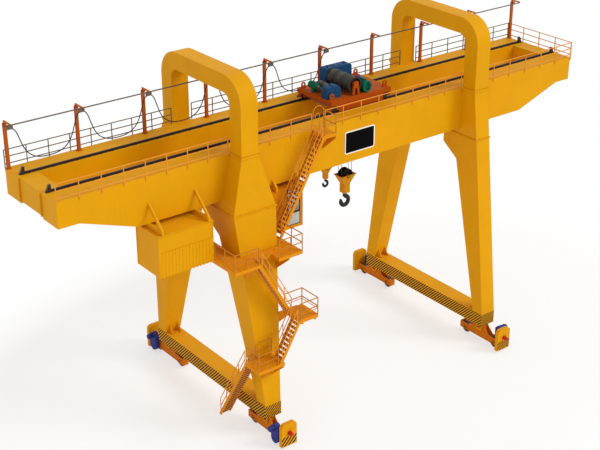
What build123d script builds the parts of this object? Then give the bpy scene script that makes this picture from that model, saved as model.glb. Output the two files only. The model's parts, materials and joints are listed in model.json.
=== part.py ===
from build123d import *
from math import acos, atan2, ceil, cos, hypot, radians, sin, tan
import os

# Double-girder gantry crane with cantilevers, portal arches, a travelling hoist trolley and two hooks.
# Frame: X along the girders, Y along the travel track, Z up, origin under the girders' middle.
# Wheel flanges stand on Z = 0. All sizes are in millimetres.

# Spans and levels
SPAN = 18000
LEFT_CANTILEVER = 11430
GIRDER_LENGTH = 39000
GIRDER_TOP = 17480
GIRDER_DEPTH = 2750
GIRDER_END_DEPTH = 1540
GIRDER_END_FLAT = 1250
GIRDER_TAPER = 3450
GIRDER_INNER = 1250
GIRDER_WIDTH = 1650

# End beams between the girders
END_BEAM_WIDTH = 1150
END_BEAM_DEPTH = 1400
SPLICE_PLATE = 60
SPLICE_REACH = 100

# Trolley track
TRACK_GAUGE = 2990
RAIL_HEIGHT = 140
RAIL_FOOT = 130
RAIL_HEAD = 80
RAIL_WEB = 40
RAIL_FLANGE = 30
RAIL_SETBACK = 450
STOP_LENGTH = 300
STOP_WIDTH = 160
STOP_MARGIN = 40

# Legs, sills and arches
SILL_BOTTOM = 1350
SILL_HEIGHT = 880
SILL_WIDTH = 1180
SILL_LENGTH = 11870
LEG_FOOT = 870
LEG_TOP_OUTER = 4020
LEG_HEAD_INNER = 1440
LEG_HEAD_DEPTH = 1320
LEG_KNEE_INNER = 2700
LEG_KNEE_DROP = 860
LEG_WIDTH = 1150
RIGID_FOOT_WIDTH = 1100
RIGID_SHOULDER_WIDTH = 2920
SHOULDER_DROP = 430
FLANGE_THICK = 60
FLANGE_REACH = 60
GUSSET_THICK = 40
GUSSET_LENGTH = 550
GUSSET_HEIGHT = 620
GUSSET_SPACING = 600
ARCH_INNER = 2950
ARCH_RISE = 4520
ARCH_DEPTH = 1050
ARCH_OUTER_RADIUS = 1600
ARCH_INNER_RADIUS = 600

# Bogies
BOGIE_INSET = 485
WHEEL_PITCH = 2660
WHEEL_RADIUS = 375
WHEEL_FLANGE = 25
WHEEL_TREAD = 130
WHEEL_HUB_RADIUS = 110
AXLE_RADIUS = 60
RUNNING_GAP = 0.4
SIDE_GAP = 10
AXLE_END_GAP = 1
BOGIE_PLATE = 50
BOGIE_INSIDE = 300
BOGIE_TAIL = 480
BOGIE_SHOULDER = 500
BOGIE_CROWN_GAP = 90
BOGIE_SIDE_RISE = 180
BOGIE_FLOOR = 120
BOGIE_ROOF = 60
BOGIE_PIN_Z = 980
BOGIE_PIN_RADIUS = 90
AXLE_CAP_RADIUS = 150
AXLE_CAP = 50
SADDLE_PLATE = 60
SADDLE_LENGTH = 760
SADDLE_TOE = 200
SADDLE_GAP = 20
END_BOX_DEPTH = 260
END_BOX_WIDTH = 1100
END_BOX_BOTTOM = 150
END_BOX_HEIGHT = 1550
END_BOX_RADIUS = 260
BUFFER_RADIUS = 125
BUFFER_LENGTH = 330
BUFFER_BASE = 45
BUFFER_BASE_RADIUS = 150
BUFFER_NOSE = 45
BUFFER_RISE = 1050
DRIVE_WIDTH = 440
DRIVE_DEPTH = 320
DRIVE_HEIGHT = 1280
DRIVE_BOTTOM = 190
DRIVE_MOTOR_RADIUS = 150
DRIVE_MOTOR_LENGTH = 380

# Electric house, cab and their hangers
HOUSE_OFFSET = 6230
HOUSE_LENGTH = 3520
HOUSE_FRONT = -4130
HOUSE_DEPTH = 2280
HOUSE_FLOOR = 11900
HOUSE_ROOF = 50
HOUSE_EAVE = 60
HOUSE_RIB = 50
HOUSE_RIB_PITCH = 220
HOUSE_RIB_HEIGHT = 1500
CAB_OFFSET = 2100
CAB_LENGTH = 2200
CAB_FRONT = -3200
CAB_DEPTH = 1900
CAB_WALL = 60
CAB_FLOOR_DROP = 150
WINDOW_SILL = 900
WINDOW_HEIGHT = 1250
WINDOW_MARGIN = 180
GLASS_THICK = 12
DOOR_WIDTH = 700
DOOR_HEIGHT = 2000
HANGER_WIDTH = 120
HANGER_DEPTH = 280
HANGER_INSET = 260
HANGER_RISE = 1150
HANGER_BAR = 120
HANGER_REACH = 120

# Stairs, platforms and railings
STAIR_PITCH = 60
RISER = 235
TREAD_DEPTH = 220
TREAD_THICK = 40
STAIR_WIDTH = 700
STRINGER_THICK = 30
STRINGER_DEPTH = 200
PLATFORM_DEPTH = 200
PLATFORM_PLATE = 60
PLATFORM_RIM = 80
STAIR_FOOT_Z = 450
LOWER_Z = 5500
LANDING_Z = 7900
UPPER_Z = HOUSE_FLOOR
LOWER_BEFORE = 1680
LOWER_AFTER = 170
STAIR_CLEARANCE = 170
STAIR_MODULE = 25
FLIGHT_GAP = 50
PLATFORM_CLEARANCE = 40
LANDING_OFFSET = 1320
LANDING_LENGTH = 1300
LANDING_MARGIN = 75
UPPER_BEFORE = 2650
UPPER_AFTER = 2050
WELL_LENGTH = 1360
WING_BACK = -1900
GIRDER_STAIR_INNER = -3400
TOP_LANDING = 850
BRACKET_WIDTH = 60
BRACKET_DROP = 1150
BEAM_WIDTH = 120
POST = 45
RAIL_TOP = 1100
RAIL_COUNT = 2
RUN_GAP = 1
POST_PITCH = 1525
GIRDER_POST_DROP = 190
GIRDER_RAIL_TOP = 1040
GIRDER_RAIL_COUNT = 3
RAIL_CLEARANCE = 80

# Festoon line along the back girder
FESTOON_POSTS = 10
FESTOON_Y = 2650
FESTOON_SETBACK = 100
FESTOON_HEIGHT = 2800
FESTOON_POST = 90
FESTOON_ARM = 70
TRACK_Y = 2000
TRACK_TUBE = 60
CARRIER_LENGTH = 360
CARRIER_WIDTH = 90
CARRIER_DROP = 190
CABLE_RADIUS = 30
CABLE_BAYS = 5

# Load plate on the front girder
PLATE_OFFSET = 7750
PLATE_LENGTH = 2360
PLATE_RISE = 540
PLATE_HEIGHT = 1460
PLATE_THICK = 20
PLATE_RADIUS = 160

# Trolley
TROLLEY_LEFT = -360
TROLLEY_LENGTH = 4680
TROLLEY_HALF_WIDTH = 1710
TROLLEY_DEPTH = 270
TROLLEY_WHEEL = 175
TROLLEY_FLANGE = 20
TROLLEY_TREAD = 90
TROLLEY_AXLE = 45
WHEEL_HEADROOM = 30
AXLE_INSET = 330
PEDESTAL_LENGTH = 240
PEDESTAL_WIDTH = 110
PEDESTAL_Y = 1290
SKIRT_Y = 1600
SKIRT_THICK = 60
SKIRT_SETBACK = 260
SKIRT_CLEARANCE = 90
BUMPER_RADIUS = 80
BUMPER_LENGTH = 150
BUMPER_PLATE = 60
BUMPER_PLATE_WIDTH = 220
LUG_WIDTH = 320
LUG_HEIGHT = 400
LUG_THICK = 60
LUG_HOLE = 75
LUG_INSET = 250
LUG_Y = 1400
ROPE_SLOT = 220
ROPE_SLOT_SIDE = 100

# Main hoist on the trolley
DRUM_X = 1640
DRUM_RISE = 610
DRUM_RADIUS = 470
DRUM_WALL = 45
DRUM_POCKET = 300
DRUM_FLANGE = 30
DRUM_BACK = 750
DRUM_LENGTH = 2200
DRUM_SHAFT = 80
SHAFT_SEAT = 90
END_GAP = 8
BEARING_THICK = 120
BEARING_WIDTH = 560
BEARING_TOP = 340
BEARING_CROWN = 230
BEARING_GAP = 260
BEARING_WEB = 160
GEARBOX_LEFT = 1150
GEARBOX_LENGTH = 2060
GEARBOX_DEPTH = 640
GEARBOX_HEIGHT = 1110
GEARBOX_RADIUS = 180
MOTOR_X = 2530
MOTOR_RISE = 370
MOTOR_RADIUS = 330
MOTOR_FRONT = -1600
MOTOR_LENGTH = 850
MOTOR_SHAFT = 60
MOTOR_FOOT = 420
BRAKE_RADIUS = 200
BRAKE_LENGTH = 260

# Auxiliary hoist on the trolley
AUX_X = 420
AUX_RISE = 430
AUX_RADIUS = 200
AUX_WALL = 30
AUX_POCKET = 150
AUX_BACK = 530
AUX_LENGTH = 1150
AUX_SHAFT = 50
AUX_BEARING_WIDTH = 360
AUX_BEARING_TOP = 220
AUX_BEARING_CROWN = 120
AUX_BEARING_GAP = 150
AUX_BEARING_WEB = 110
AUX_GEAR_LOBE = 330
AUX_GEAR_SMALL_LOBE = 290
AUX_GEAR_DEPTH = 560
AUX_CAP_RADIUS = 110
AUX_CAP = 30
AUX_CENTRES = 450
AUX_MOTOR_RADIUS = 200
AUX_MOTOR_FRONT = 110
AUX_MOTOR_LENGTH = 710
AUX_MOTOR_SHAFT = 45
AUX_MOTOR_FOOT = 240
AUX_FLANGE_RADIUS = 150
AUX_FLANGE = 60

# Hook blocks; the auxiliary one is the main one's form at the ratio of the sheaves
ROPE_RADIUS = 16
MAIN_SHEAVE = 430
MAIN_OFFSET = 530
MAIN_HANG = 2350
MAIN_SHEAVES = 2
AUX_SHEAVE = 250
AUX_OFFSET = 145
AUX_HANG = 1500
AUX_SHEAVES = 1
SHEAVE_THICK = 90
SHEAVE_ROOT = 30
SHEAVE_PITCH = 330
HOUSING_LENGTH = 1180
HOUSING_WIDTH = 780
HOUSING_WALL = 40
HOUSING_RISE = 60
FLARE_DROP = 600
YOKE_SIDE = 470
BLOCK_DROP = 1220
BLOCK_AXLE = 70
BLOCK_AXLE_HEAD = 40
SHANK_RADIUS = 95
SHANK_SEAT = 240
NECK_RADIUS = 130
NECK_GAP = 20
HOOK_INNER = 160
HOOK_OUTER = 450
HOOK_THICK = 210
HOOK_DROP = 600
HOOK_TIP = 190
HOOK_TIP_RADIUS = 55
HOOK_TIP_LEAN = 40

CLEAR = 0.3


def block(x0, x1, y0, y1, z0, z1):
    """A box between two opposite corners."""
    centre = Pos((x0 + x1) / 2, (y0 + y1) / 2, (z0 + z1) / 2)
    return centre * Box(abs(x1 - x0), abs(y1 - y0), abs(z1 - z0))


def prism_x(outline, x0, x1):
    """A YZ outline carried along X."""
    face = make_face(Polyline([(x0, y, z) for y, z in outline], close=True))
    return extrude(face, amount=x1 - x0, dir=(1, 0, 0))


def prism_y(outline, y0, y1):
    """An XZ outline carried along Y."""
    face = make_face(Polyline([(x, y0, z) for x, z in outline], close=True))
    return extrude(face, amount=y1 - y0, dir=(0, 1, 0))


def rod(start, end, radius):
    """A round bar between two points."""
    run = Vector(*end) - Vector(*start)
    base = Plane(origin=start, z_dir=run)
    return base * Cylinder(radius, run.length, align=(Align.CENTER, Align.CENTER, Align.MIN))


def write(name, *solids):
    """Write one node, holding one or more separate solids."""
    shape = solids[0] if len(solids) == 1 else Compound(children=list(solids))
    export_step(shape, f"parts/{name}.step")


# Derived levels and lines shared by several pieces
GIRDER_BOTTOM = GIRDER_TOP - GIRDER_DEPTH
GIRDER_OUTER = GIRDER_INNER + GIRDER_WIDTH
GIRDER_END = GIRDER_LENGTH / 2
RIGID_X = LEFT_CANTILEVER - GIRDER_END
FLEXIBLE_X = RIGID_X + SPAN
ARCH_TOP = GIRDER_TOP + ARCH_RISE
SILL_TOP = SILL_BOTTOM + SILL_HEIGHT
SILL_END = SILL_LENGTH / 2
LEG_SLOPE = (SILL_END - LEG_TOP_OUTER) / (GIRDER_TOP - SILL_TOP)
SHOULDER_Z = GIRDER_BOTTOM - SHOULDER_DROP
RIGID_SLOPE = (RIGID_SHOULDER_WIDTH - RIGID_FOOT_WIDTH) / 2 / (SHOULDER_Z - SILL_TOP)
RAIL_LEVEL = GIRDER_TOP + RAIL_HEIGHT
RAIL_END = GIRDER_END - RAIL_SETBACK
RAIL_Y = TRACK_GAUGE / 2
PITCH_TAN = tan(radians(STAIR_PITCH))
HOUSE_LEFT = RIGID_X - HOUSE_OFFSET
HOUSE_RIGHT = HOUSE_LEFT + HOUSE_LENGTH
CAB_LEFT = RIGID_X + CAB_OFFSET
CAB_RIGHT = CAB_LEFT + CAB_LENGTH
LOWER_LEFT = RIGID_X - LOWER_BEFORE
LOWER_RIGHT = RIGID_X + LOWER_AFTER
LANDING_LEFT = RIGID_X + LANDING_OFFSET
UPPER_LEFT = RIGID_X - UPPER_BEFORE
UPPER_RIGHT = RIGID_X + UPPER_AFTER
HANGER_BOTTOM = GIRDER_BOTTOM - HANGER_DEPTH
FESTOON_FIRST = FESTOON_SETBACK - GIRDER_END
FESTOON_PITCH = -2 * FESTOON_FIRST / (FESTOON_POSTS - 1)
PLATE_LEFT = RIGID_X + PLATE_OFFSET
PLATE_BOTTOM = GIRDER_BOTTOM + PLATE_RISE
TROLLEY_AXLE_Z = RAIL_LEVEL + TROLLEY_WHEEL
STOP_TOP = TROLLEY_AXLE_Z + BUMPER_RADIUS + STOP_MARGIN


def leg_outer(z):
    """How far the legs' outer face stands from the middle at a level."""
    return SILL_END - (z - SILL_TOP) * LEG_SLOPE


def rigid_half(z):
    """Half the rigid leg's width along X at a level below its shoulder."""
    return RIGID_FOOT_WIDTH / 2 + (z - SILL_TOP) * RIGID_SLOPE


def girder(side):
    """One box girder with shallower ends."""
    flat = GIRDER_END - GIRDER_END_FLAT
    full = flat - GIRDER_TAPER
    end_bottom = GIRDER_TOP - GIRDER_END_DEPTH
    half = [(full, GIRDER_BOTTOM), (flat, end_bottom), (GIRDER_END, end_bottom), (GIRDER_END, GIRDER_TOP)]
    outline = half + [(-x, z) for x, z in reversed(half)]
    low, high = sorted((side * GIRDER_INNER, side * GIRDER_OUTER))
    return prism_y(outline, low, high)


def end_beam(side):
    """The cross beam between the girders' ends, with its two splice plates."""
    low = GIRDER_TOP - END_BEAM_DEPTH
    face = side * GIRDER_END
    beam = block(face - side * END_BEAM_WIDTH, face, -GIRDER_INNER, GIRDER_INNER, low, GIRDER_TOP)
    tip = face + side * SPLICE_REACH
    for edge in (-GIRDER_INNER, GIRDER_INNER - SPLICE_PLATE):
        beam += block(face, tip, edge, edge + SPLICE_PLATE, low, GIRDER_TOP)
    return beam


def trolley_rail(side):
    """One rail with its foot, web and head."""
    foot, web, head = RAIL_FOOT / 2, RAIL_WEB / 2, RAIL_HEAD / 2
    neck = RAIL_LEVEL - RAIL_FLANGE
    ankle = GIRDER_TOP + RAIL_FLANGE
    right = [(foot, GIRDER_TOP), (foot, ankle), (web, ankle), (web, neck), (head, neck), (head, RAIL_LEVEL)]
    outline = right + [(-y, z) for y, z in reversed(right)]
    return prism_x([(side * RAIL_Y + y, z) for y, z in outline], -RAIL_END, RAIL_END)


def rail_stop(end, side):
    """The stop block that the trolley's bumpers meet at the end of a rail."""
    face = end * RAIL_END
    outline = [
        (face, GIRDER_TOP),
        (face, STOP_TOP),
        (face + end * STOP_LENGTH / 3, STOP_TOP),
        (face + end * STOP_LENGTH, GIRDER_TOP),
    ]
    y = side * RAIL_Y
    return prism_y(outline, y - STOP_WIDTH / 2, y + STOP_WIDTH / 2)


def leg_outline(side):
    """The YZ outline of a leg, from its foot up beside the girder."""
    knee_top = GIRDER_BOTTOM - LEG_HEAD_DEPTH
    points = [
        (SILL_END, SILL_TOP),
        (LEG_TOP_OUTER, GIRDER_TOP),
        (GIRDER_OUTER, GIRDER_TOP),
        (GIRDER_OUTER, GIRDER_BOTTOM),
        (LEG_HEAD_INNER, GIRDER_BOTTOM),
        (LEG_HEAD_INNER, knee_top),
        (LEG_KNEE_INNER, knee_top - LEG_KNEE_DROP),
        (SILL_END - LEG_FOOT, SILL_TOP),
    ]
    return [(side * y, z) for y, z in points]


def leg_flanges(x, side, shoulder_width):
    """The bolted flanges at a leg's shoulder and under the arch."""
    low = SHOULDER_Z - FLANGE_THICK / 2
    wide = shoulder_width / 2 + FLANGE_REACH
    outer = leg_outer(SHOULDER_Z) + FLANGE_REACH
    inner = LEG_HEAD_INNER - FLANGE_REACH
    ring = block(x - wide, x + wide, side * inner, side * outer, low, low + FLANGE_THICK)
    top = LEG_WIDTH / 2 + FLANGE_REACH
    reach = LEG_TOP_OUTER + FLANGE_REACH
    plate = block(x - top, x + top, side * GIRDER_OUTER, side * reach, GIRDER_TOP - FLANGE_THICK, GIRDER_TOP)
    return ring + plate


def leg_gussets(x, side):
    """Two stiffening plates between a leg's inner foot and the sill."""
    inner = SILL_END - LEG_FOOT
    lean = (SILL_END - LEG_FOOT - LEG_KNEE_INNER) / (GIRDER_BOTTOM - LEG_HEAD_DEPTH - LEG_KNEE_DROP - SILL_TOP)
    top = (inner - lean * GUSSET_HEIGHT, SILL_TOP + GUSSET_HEIGHT)
    outline = [(side * y, z) for y, z in ((inner, SILL_TOP), top, (inner - GUSSET_LENGTH, SILL_TOP))]
    plates = [x + offset - GUSSET_THICK / 2 for offset in (-GUSSET_SPACING / 2, GUSSET_SPACING / 2)]
    return [prism_x(outline, start, start + GUSSET_THICK) for start in plates]


def flexible_leg(side):
    """A leg of even width on the far frame."""
    x = FLEXIBLE_X
    leg = prism_x(leg_outline(side), x - LEG_WIDTH / 2, x + LEG_WIDTH / 2)
    leg += leg_flanges(x, side, LEG_WIDTH)
    for gusset in leg_gussets(x, side):
        leg += gusset
    return leg


def rigid_leg(side):
    """A leg that widens from its foot to its shoulder and narrows again to the arch."""
    x = RIGID_X
    half = [
        (RIGID_FOOT_WIDTH / 2, SILL_TOP),
        (RIGID_SHOULDER_WIDTH / 2, SHOULDER_Z),
        (LEG_WIDTH / 2, GIRDER_TOP),
    ]
    front = [(x + w, z) for w, z in half] + [(x - w, z) for w, z in reversed(half)]
    low, high = sorted((0, side * SILL_END))
    wide = prism_x(leg_outline(side), x - RIGID_SHOULDER_WIDTH, x + RIGID_SHOULDER_WIDTH)
    leg = wide & prism_y(front, low, high)
    leg += leg_flanges(x, side, RIGID_SHOULDER_WIDTH)
    for gusset in leg_gussets(x, side):
        leg += gusset
    return leg


def arch(x):
    """The round-cornered portal that ties a frame's two legs above the girders."""
    def portal(half, top, radius):
        outline = Pos(0, (GIRDER_TOP + top) / 2) * Rectangle(2 * half, top - GIRDER_TOP)
        return fillet(outline.vertices().group_by(Axis.Y)[-1], radius)
    shape = portal(LEG_TOP_OUTER, ARCH_TOP, ARCH_OUTER_RADIUS)
    shape -= portal(ARCH_INNER, ARCH_TOP - ARCH_DEPTH, ARCH_INNER_RADIUS)
    bow = Pos(x, 0, 0) * extrude(Plane.YZ * shape, amount=LEG_WIDTH / 2, both=True)
    wide = LEG_WIDTH / 2 + FLANGE_REACH
    reach = LEG_TOP_OUTER + FLANGE_REACH
    for side in (-1, 1):
        bow += block(
            x - wide, x + wide, side * ARCH_INNER, side * reach, GIRDER_TOP, GIRDER_TOP + FLANGE_THICK
        )
    return bow


def sill(x):
    """The sill beam that joins a frame's feet."""
    return block(x - SILL_WIDTH / 2, x + SILL_WIDTH / 2, -SILL_END, SILL_END, SILL_BOTTOM, SILL_TOP)


# Bogie levels
AXLE_Z = WHEEL_RADIUS + WHEEL_FLANGE
PIN_Y = SILL_END - BOGIE_INSET
PLATE_IN = BOGIE_INSIDE / 2
PLATE_OUT = PLATE_IN + BOGIE_PLATE
SADDLE_IN = PLATE_OUT + SADDLE_GAP
BOGIE_OUTER = PIN_Y + WHEEL_PITCH / 2 + BOGIE_TAIL
BOX_OUTER = BOGIE_OUTER + END_BOX_DEPTH
AXLE_SEAT = PLATE_OUT - AXLE_END_GAP


def bogie_frame(x, side):
    """Two side plates on a centre block, with axle caps and the end box at the outer end."""
    def at(y):
        return side * (PIN_Y + y)
    tail = WHEEL_PITCH / 2 + BOGIE_TAIL
    low = AXLE_Z - AXLE_CAP_RADIUS
    mid = AXLE_Z + AXLE_CAP_RADIUS + BOGIE_SIDE_RISE
    crown = SILL_BOTTOM - BOGIE_CROWN_GAP
    waist = SADDLE_LENGTH / 2
    outline = [
        (at(-tail), low), (at(-tail), mid), (at(-waist - BOGIE_SHOULDER), mid), (at(-waist), crown),
        (at(waist), crown), (at(waist + BOGIE_SHOULDER), mid), (at(tail), mid), (at(tail), low),
    ]
    frame = block(x - PLATE_IN, x + PLATE_IN, at(-waist), at(waist), low + BOGIE_FLOOR, crown - BOGIE_ROOF)
    for start in (x - PLATE_OUT, x + PLATE_IN):
        frame += prism_x(outline, start, start + BOGIE_PLATE)
    frame += block(x - PLATE_IN, x + PLATE_IN, at(-tail), at(-tail + BOGIE_PLATE), low, mid)
    for pitch in (-WHEEL_PITCH / 2, WHEEL_PITCH / 2):
        y = at(pitch)
        reach = PLATE_OUT + AXLE_CAP
        frame += rod((x - reach, y, AXLE_Z), (x - PLATE_OUT, y, AXLE_Z), AXLE_CAP_RADIUS)
        frame += rod((x + PLATE_OUT, y, AXLE_Z), (x + reach, y, AXLE_Z), AXLE_CAP_RADIUS)
        frame -= rod((x - PLATE_OUT, y, AXLE_Z), (x + PLATE_OUT, y, AXLE_Z), AXLE_RADIUS + RUNNING_GAP)
    frame -= rod((x - PLATE_OUT, at(0), BOGIE_PIN_Z), (x + PLATE_OUT, at(0), BOGIE_PIN_Z),
                 BOGIE_PIN_RADIUS + RUNNING_GAP)
    return frame + end_box(x, side)


def end_box(x, side):
    """The round-shouldered box that carries the buffer at a bogie's outer end."""
    outline = Pos(0, END_BOX_BOTTOM + END_BOX_HEIGHT / 2) * Rectangle(END_BOX_WIDTH, END_BOX_HEIGHT)
    outline = fillet(outline.vertices().group_by(Axis.Y)[-1], END_BOX_RADIUS)
    face = Plane.XZ * outline
    near = side * BOGIE_OUTER if side < 0 else BOX_OUTER
    return Pos(x, near, 0) * extrude(face, amount=END_BOX_DEPTH)


def bogie_saddle(x, side):
    """The clevis under the sill that holds a bogie's pin."""
    y = side * PIN_Y
    reach = SADDLE_IN + SADDLE_PLATE
    half = SADDLE_LENGTH / 2
    outline = [
        (y - half, SILL_BOTTOM), (y + half, SILL_BOTTOM),
        (y + SADDLE_TOE, BOGIE_PIN_Z - SADDLE_TOE), (y - SADDLE_TOE, BOGIE_PIN_Z - SADDLE_TOE),
    ]
    clevis = rod((x - reach - BOGIE_PLATE, y, BOGIE_PIN_Z), (x + reach + BOGIE_PLATE, y, BOGIE_PIN_Z),
                 BOGIE_PIN_RADIUS)
    for start in (x - reach, x + SADDLE_IN):
        clevis += prism_x(outline, start, start + SADDLE_PLATE)
    return clevis


def travel_wheel(x, y):
    """A double-flanged wheel on its axle."""
    half = WHEEL_TREAD / 2
    lip = half + WHEEL_FLANGE
    hub = PLATE_IN - SIDE_GAP
    rim = WHEEL_RADIUS + WHEEL_FLANGE
    outline = [
        (0, -AXLE_SEAT), (AXLE_RADIUS, -AXLE_SEAT), (AXLE_RADIUS, -hub), (WHEEL_HUB_RADIUS, -hub),
        (WHEEL_HUB_RADIUS, -lip), (rim, -lip), (rim, -half), (WHEEL_RADIUS, -half),
    ]
    outline += [(r, -h) for r, h in reversed(outline)]
    face = make_face(Polyline([(r, 0, h) for r, h in outline], close=True))
    wheel = revolve(face, axis=Axis.Z)
    return Pos(x, y, AXLE_Z) * Rot(0, 90, 0) * wheel


def travel_drive(x, out, side):
    """A vertical gear case on the outer wheel with its motor standing out sideways."""
    y = side * (PIN_Y + WHEEL_PITCH / 2)
    near = x + out * (PLATE_OUT + AXLE_CAP)
    far = near + out * DRIVE_DEPTH
    top = DRIVE_BOTTOM + DRIVE_HEIGHT
    case = Pos(0, (DRIVE_BOTTOM + top) / 2) * SlotOverall(DRIVE_HEIGHT, DRIVE_WIDTH, rotation=90)
    case = Pos(min(near, far), y, 0) * extrude(Plane.YZ * case, amount=DRIVE_DEPTH)
    motor_z = top - DRIVE_WIDTH / 2
    motor = rod((far, y, motor_z), (far + out * DRIVE_MOTOR_LENGTH, y, motor_z), DRIVE_MOTOR_RADIUS)
    return case + motor


def travel_buffer(x, side):
    """A round-nosed buffer on its base disc."""
    shoulder = BUFFER_LENGTH - BUFFER_NOSE
    outline = [(0, 0), (BUFFER_BASE_RADIUS, 0), (BUFFER_BASE_RADIUS, BUFFER_BASE), (BUFFER_RADIUS, BUFFER_BASE),
               (BUFFER_RADIUS, shoulder), (BUFFER_RADIUS - BUFFER_NOSE, BUFFER_LENGTH), (0, BUFFER_LENGTH)]
    face = make_face(Polyline([(r, 0, h) for r, h in outline], close=True))
    buffer = revolve(face, axis=Axis.Z)
    return Pos(x, side * BOX_OUTER, BUFFER_RISE) * Rot(-90 * side, 0, 0) * buffer


def electric_house():
    """The closed electric house with ribbed lower sides and an overhanging roof."""
    back = HOUSE_FRONT + HOUSE_DEPTH
    eave = HANGER_BOTTOM - HOUSE_ROOF
    house = block(HOUSE_LEFT, HOUSE_RIGHT, HOUSE_FRONT, back, HOUSE_FLOOR, eave)
    house += block(HOUSE_LEFT - HOUSE_EAVE, HOUSE_RIGHT + HOUSE_EAVE, HOUSE_FRONT - HOUSE_EAVE,
                   back + HOUSE_EAVE, eave, HANGER_BOTTOM)
    top = HOUSE_FLOOR + HOUSE_RIB_HEIGHT
    count = int((HOUSE_LENGTH - 2 * HOUSE_RIB) // HOUSE_RIB_PITCH)
    first = HOUSE_LEFT + (HOUSE_LENGTH - (count - 1) * HOUSE_RIB_PITCH) / 2
    for step in range(count):
        x = first + step * HOUSE_RIB_PITCH
        house += block(x - HOUSE_RIB, x + HOUSE_RIB, HOUSE_FRONT - HOUSE_RIB, HOUSE_FRONT, HOUSE_FLOOR, top)
        house += block(x - HOUSE_RIB, x + HOUSE_RIB, back, back + HOUSE_RIB, HOUSE_FLOOR, top)
    return house


def cab_windows():
    """The cab's glazed openings as (x0, x1, y0, y1), each through one wall."""
    back = CAB_FRONT + CAB_DEPTH
    low_x, high_x = CAB_LEFT + CAB_LENGTH / 2, CAB_RIGHT - WINDOW_MARGIN
    low_y, high_y = CAB_FRONT + WINDOW_MARGIN, back - WINDOW_MARGIN
    return {
        "front": (low_x, high_x, CAB_FRONT, CAB_FRONT + CAB_WALL),
        "right": (CAB_RIGHT - CAB_WALL, CAB_RIGHT, low_y, high_y),
        "back": (CAB_LEFT + WINDOW_MARGIN, high_x, back - CAB_WALL, back),
    }


def window_levels():
    """The bottom and top of the cab's windows."""
    low = UPPER_Z + WINDOW_SILL
    return low, low + WINDOW_HEIGHT


def cab_shell():
    """The driver's cab: a hollow shell with its windows and doorway cut through."""
    back = CAB_FRONT + CAB_DEPTH
    floor = UPPER_Z - CAB_FLOOR_DROP
    shell = block(CAB_LEFT, CAB_RIGHT, CAB_FRONT, back, floor, HANGER_BOTTOM)
    shell -= block(CAB_LEFT + CAB_WALL, CAB_RIGHT - CAB_WALL, CAB_FRONT + CAB_WALL, back - CAB_WALL,
                   UPPER_Z, HANGER_BOTTOM - CAB_WALL)
    low, high = window_levels()
    for x0, x1, y0, y1 in cab_windows().values():
        shell -= block(x0, x1, y0, y1, low, high)
    door = back - WINDOW_MARGIN - DOOR_WIDTH
    shell -= block(CAB_LEFT, CAB_LEFT + CAB_WALL, door, door + DOOR_WIDTH, UPPER_Z, UPPER_Z + DOOR_HEIGHT)
    return shell


def cab_glass():
    """One pane in the middle of each window opening."""
    low, high = window_levels()
    panes = []
    for x0, x1, y0, y1 in cab_windows().values():
        if x1 - x0 > y1 - y0:
            y0 = (y0 + y1 - GLASS_THICK) / 2
            y1 = y0 + GLASS_THICK
        else:
            x0 = (x0 + x1 - GLASS_THICK) / 2
            x1 = x0 + GLASS_THICK
        panes.append(block(x0, x1, y0, y1, low, high))
    return panes


def hanger(x, front, back):
    """An arm under the girder, with a tie up to the girder's outer face."""
    tip = front - HANGER_REACH
    low, high = x - HANGER_WIDTH / 2, x + HANGER_WIDTH / 2
    arm = block(low, high, tip, back, HANGER_BOTTOM, GIRDER_BOTTOM)
    root = GIRDER_BOTTOM + HANGER_RISE * min(1, (-GIRDER_OUTER - front) / HANGER_RISE)
    outline = [
        (-GIRDER_OUTER, root + HANGER_BAR), (-GIRDER_OUTER, root - HANGER_BAR),
        (tip + HANGER_BAR * 2, GIRDER_BOTTOM), (tip, GIRDER_BOTTOM),
    ]
    return arm + prism_x(outline, low, high)


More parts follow.
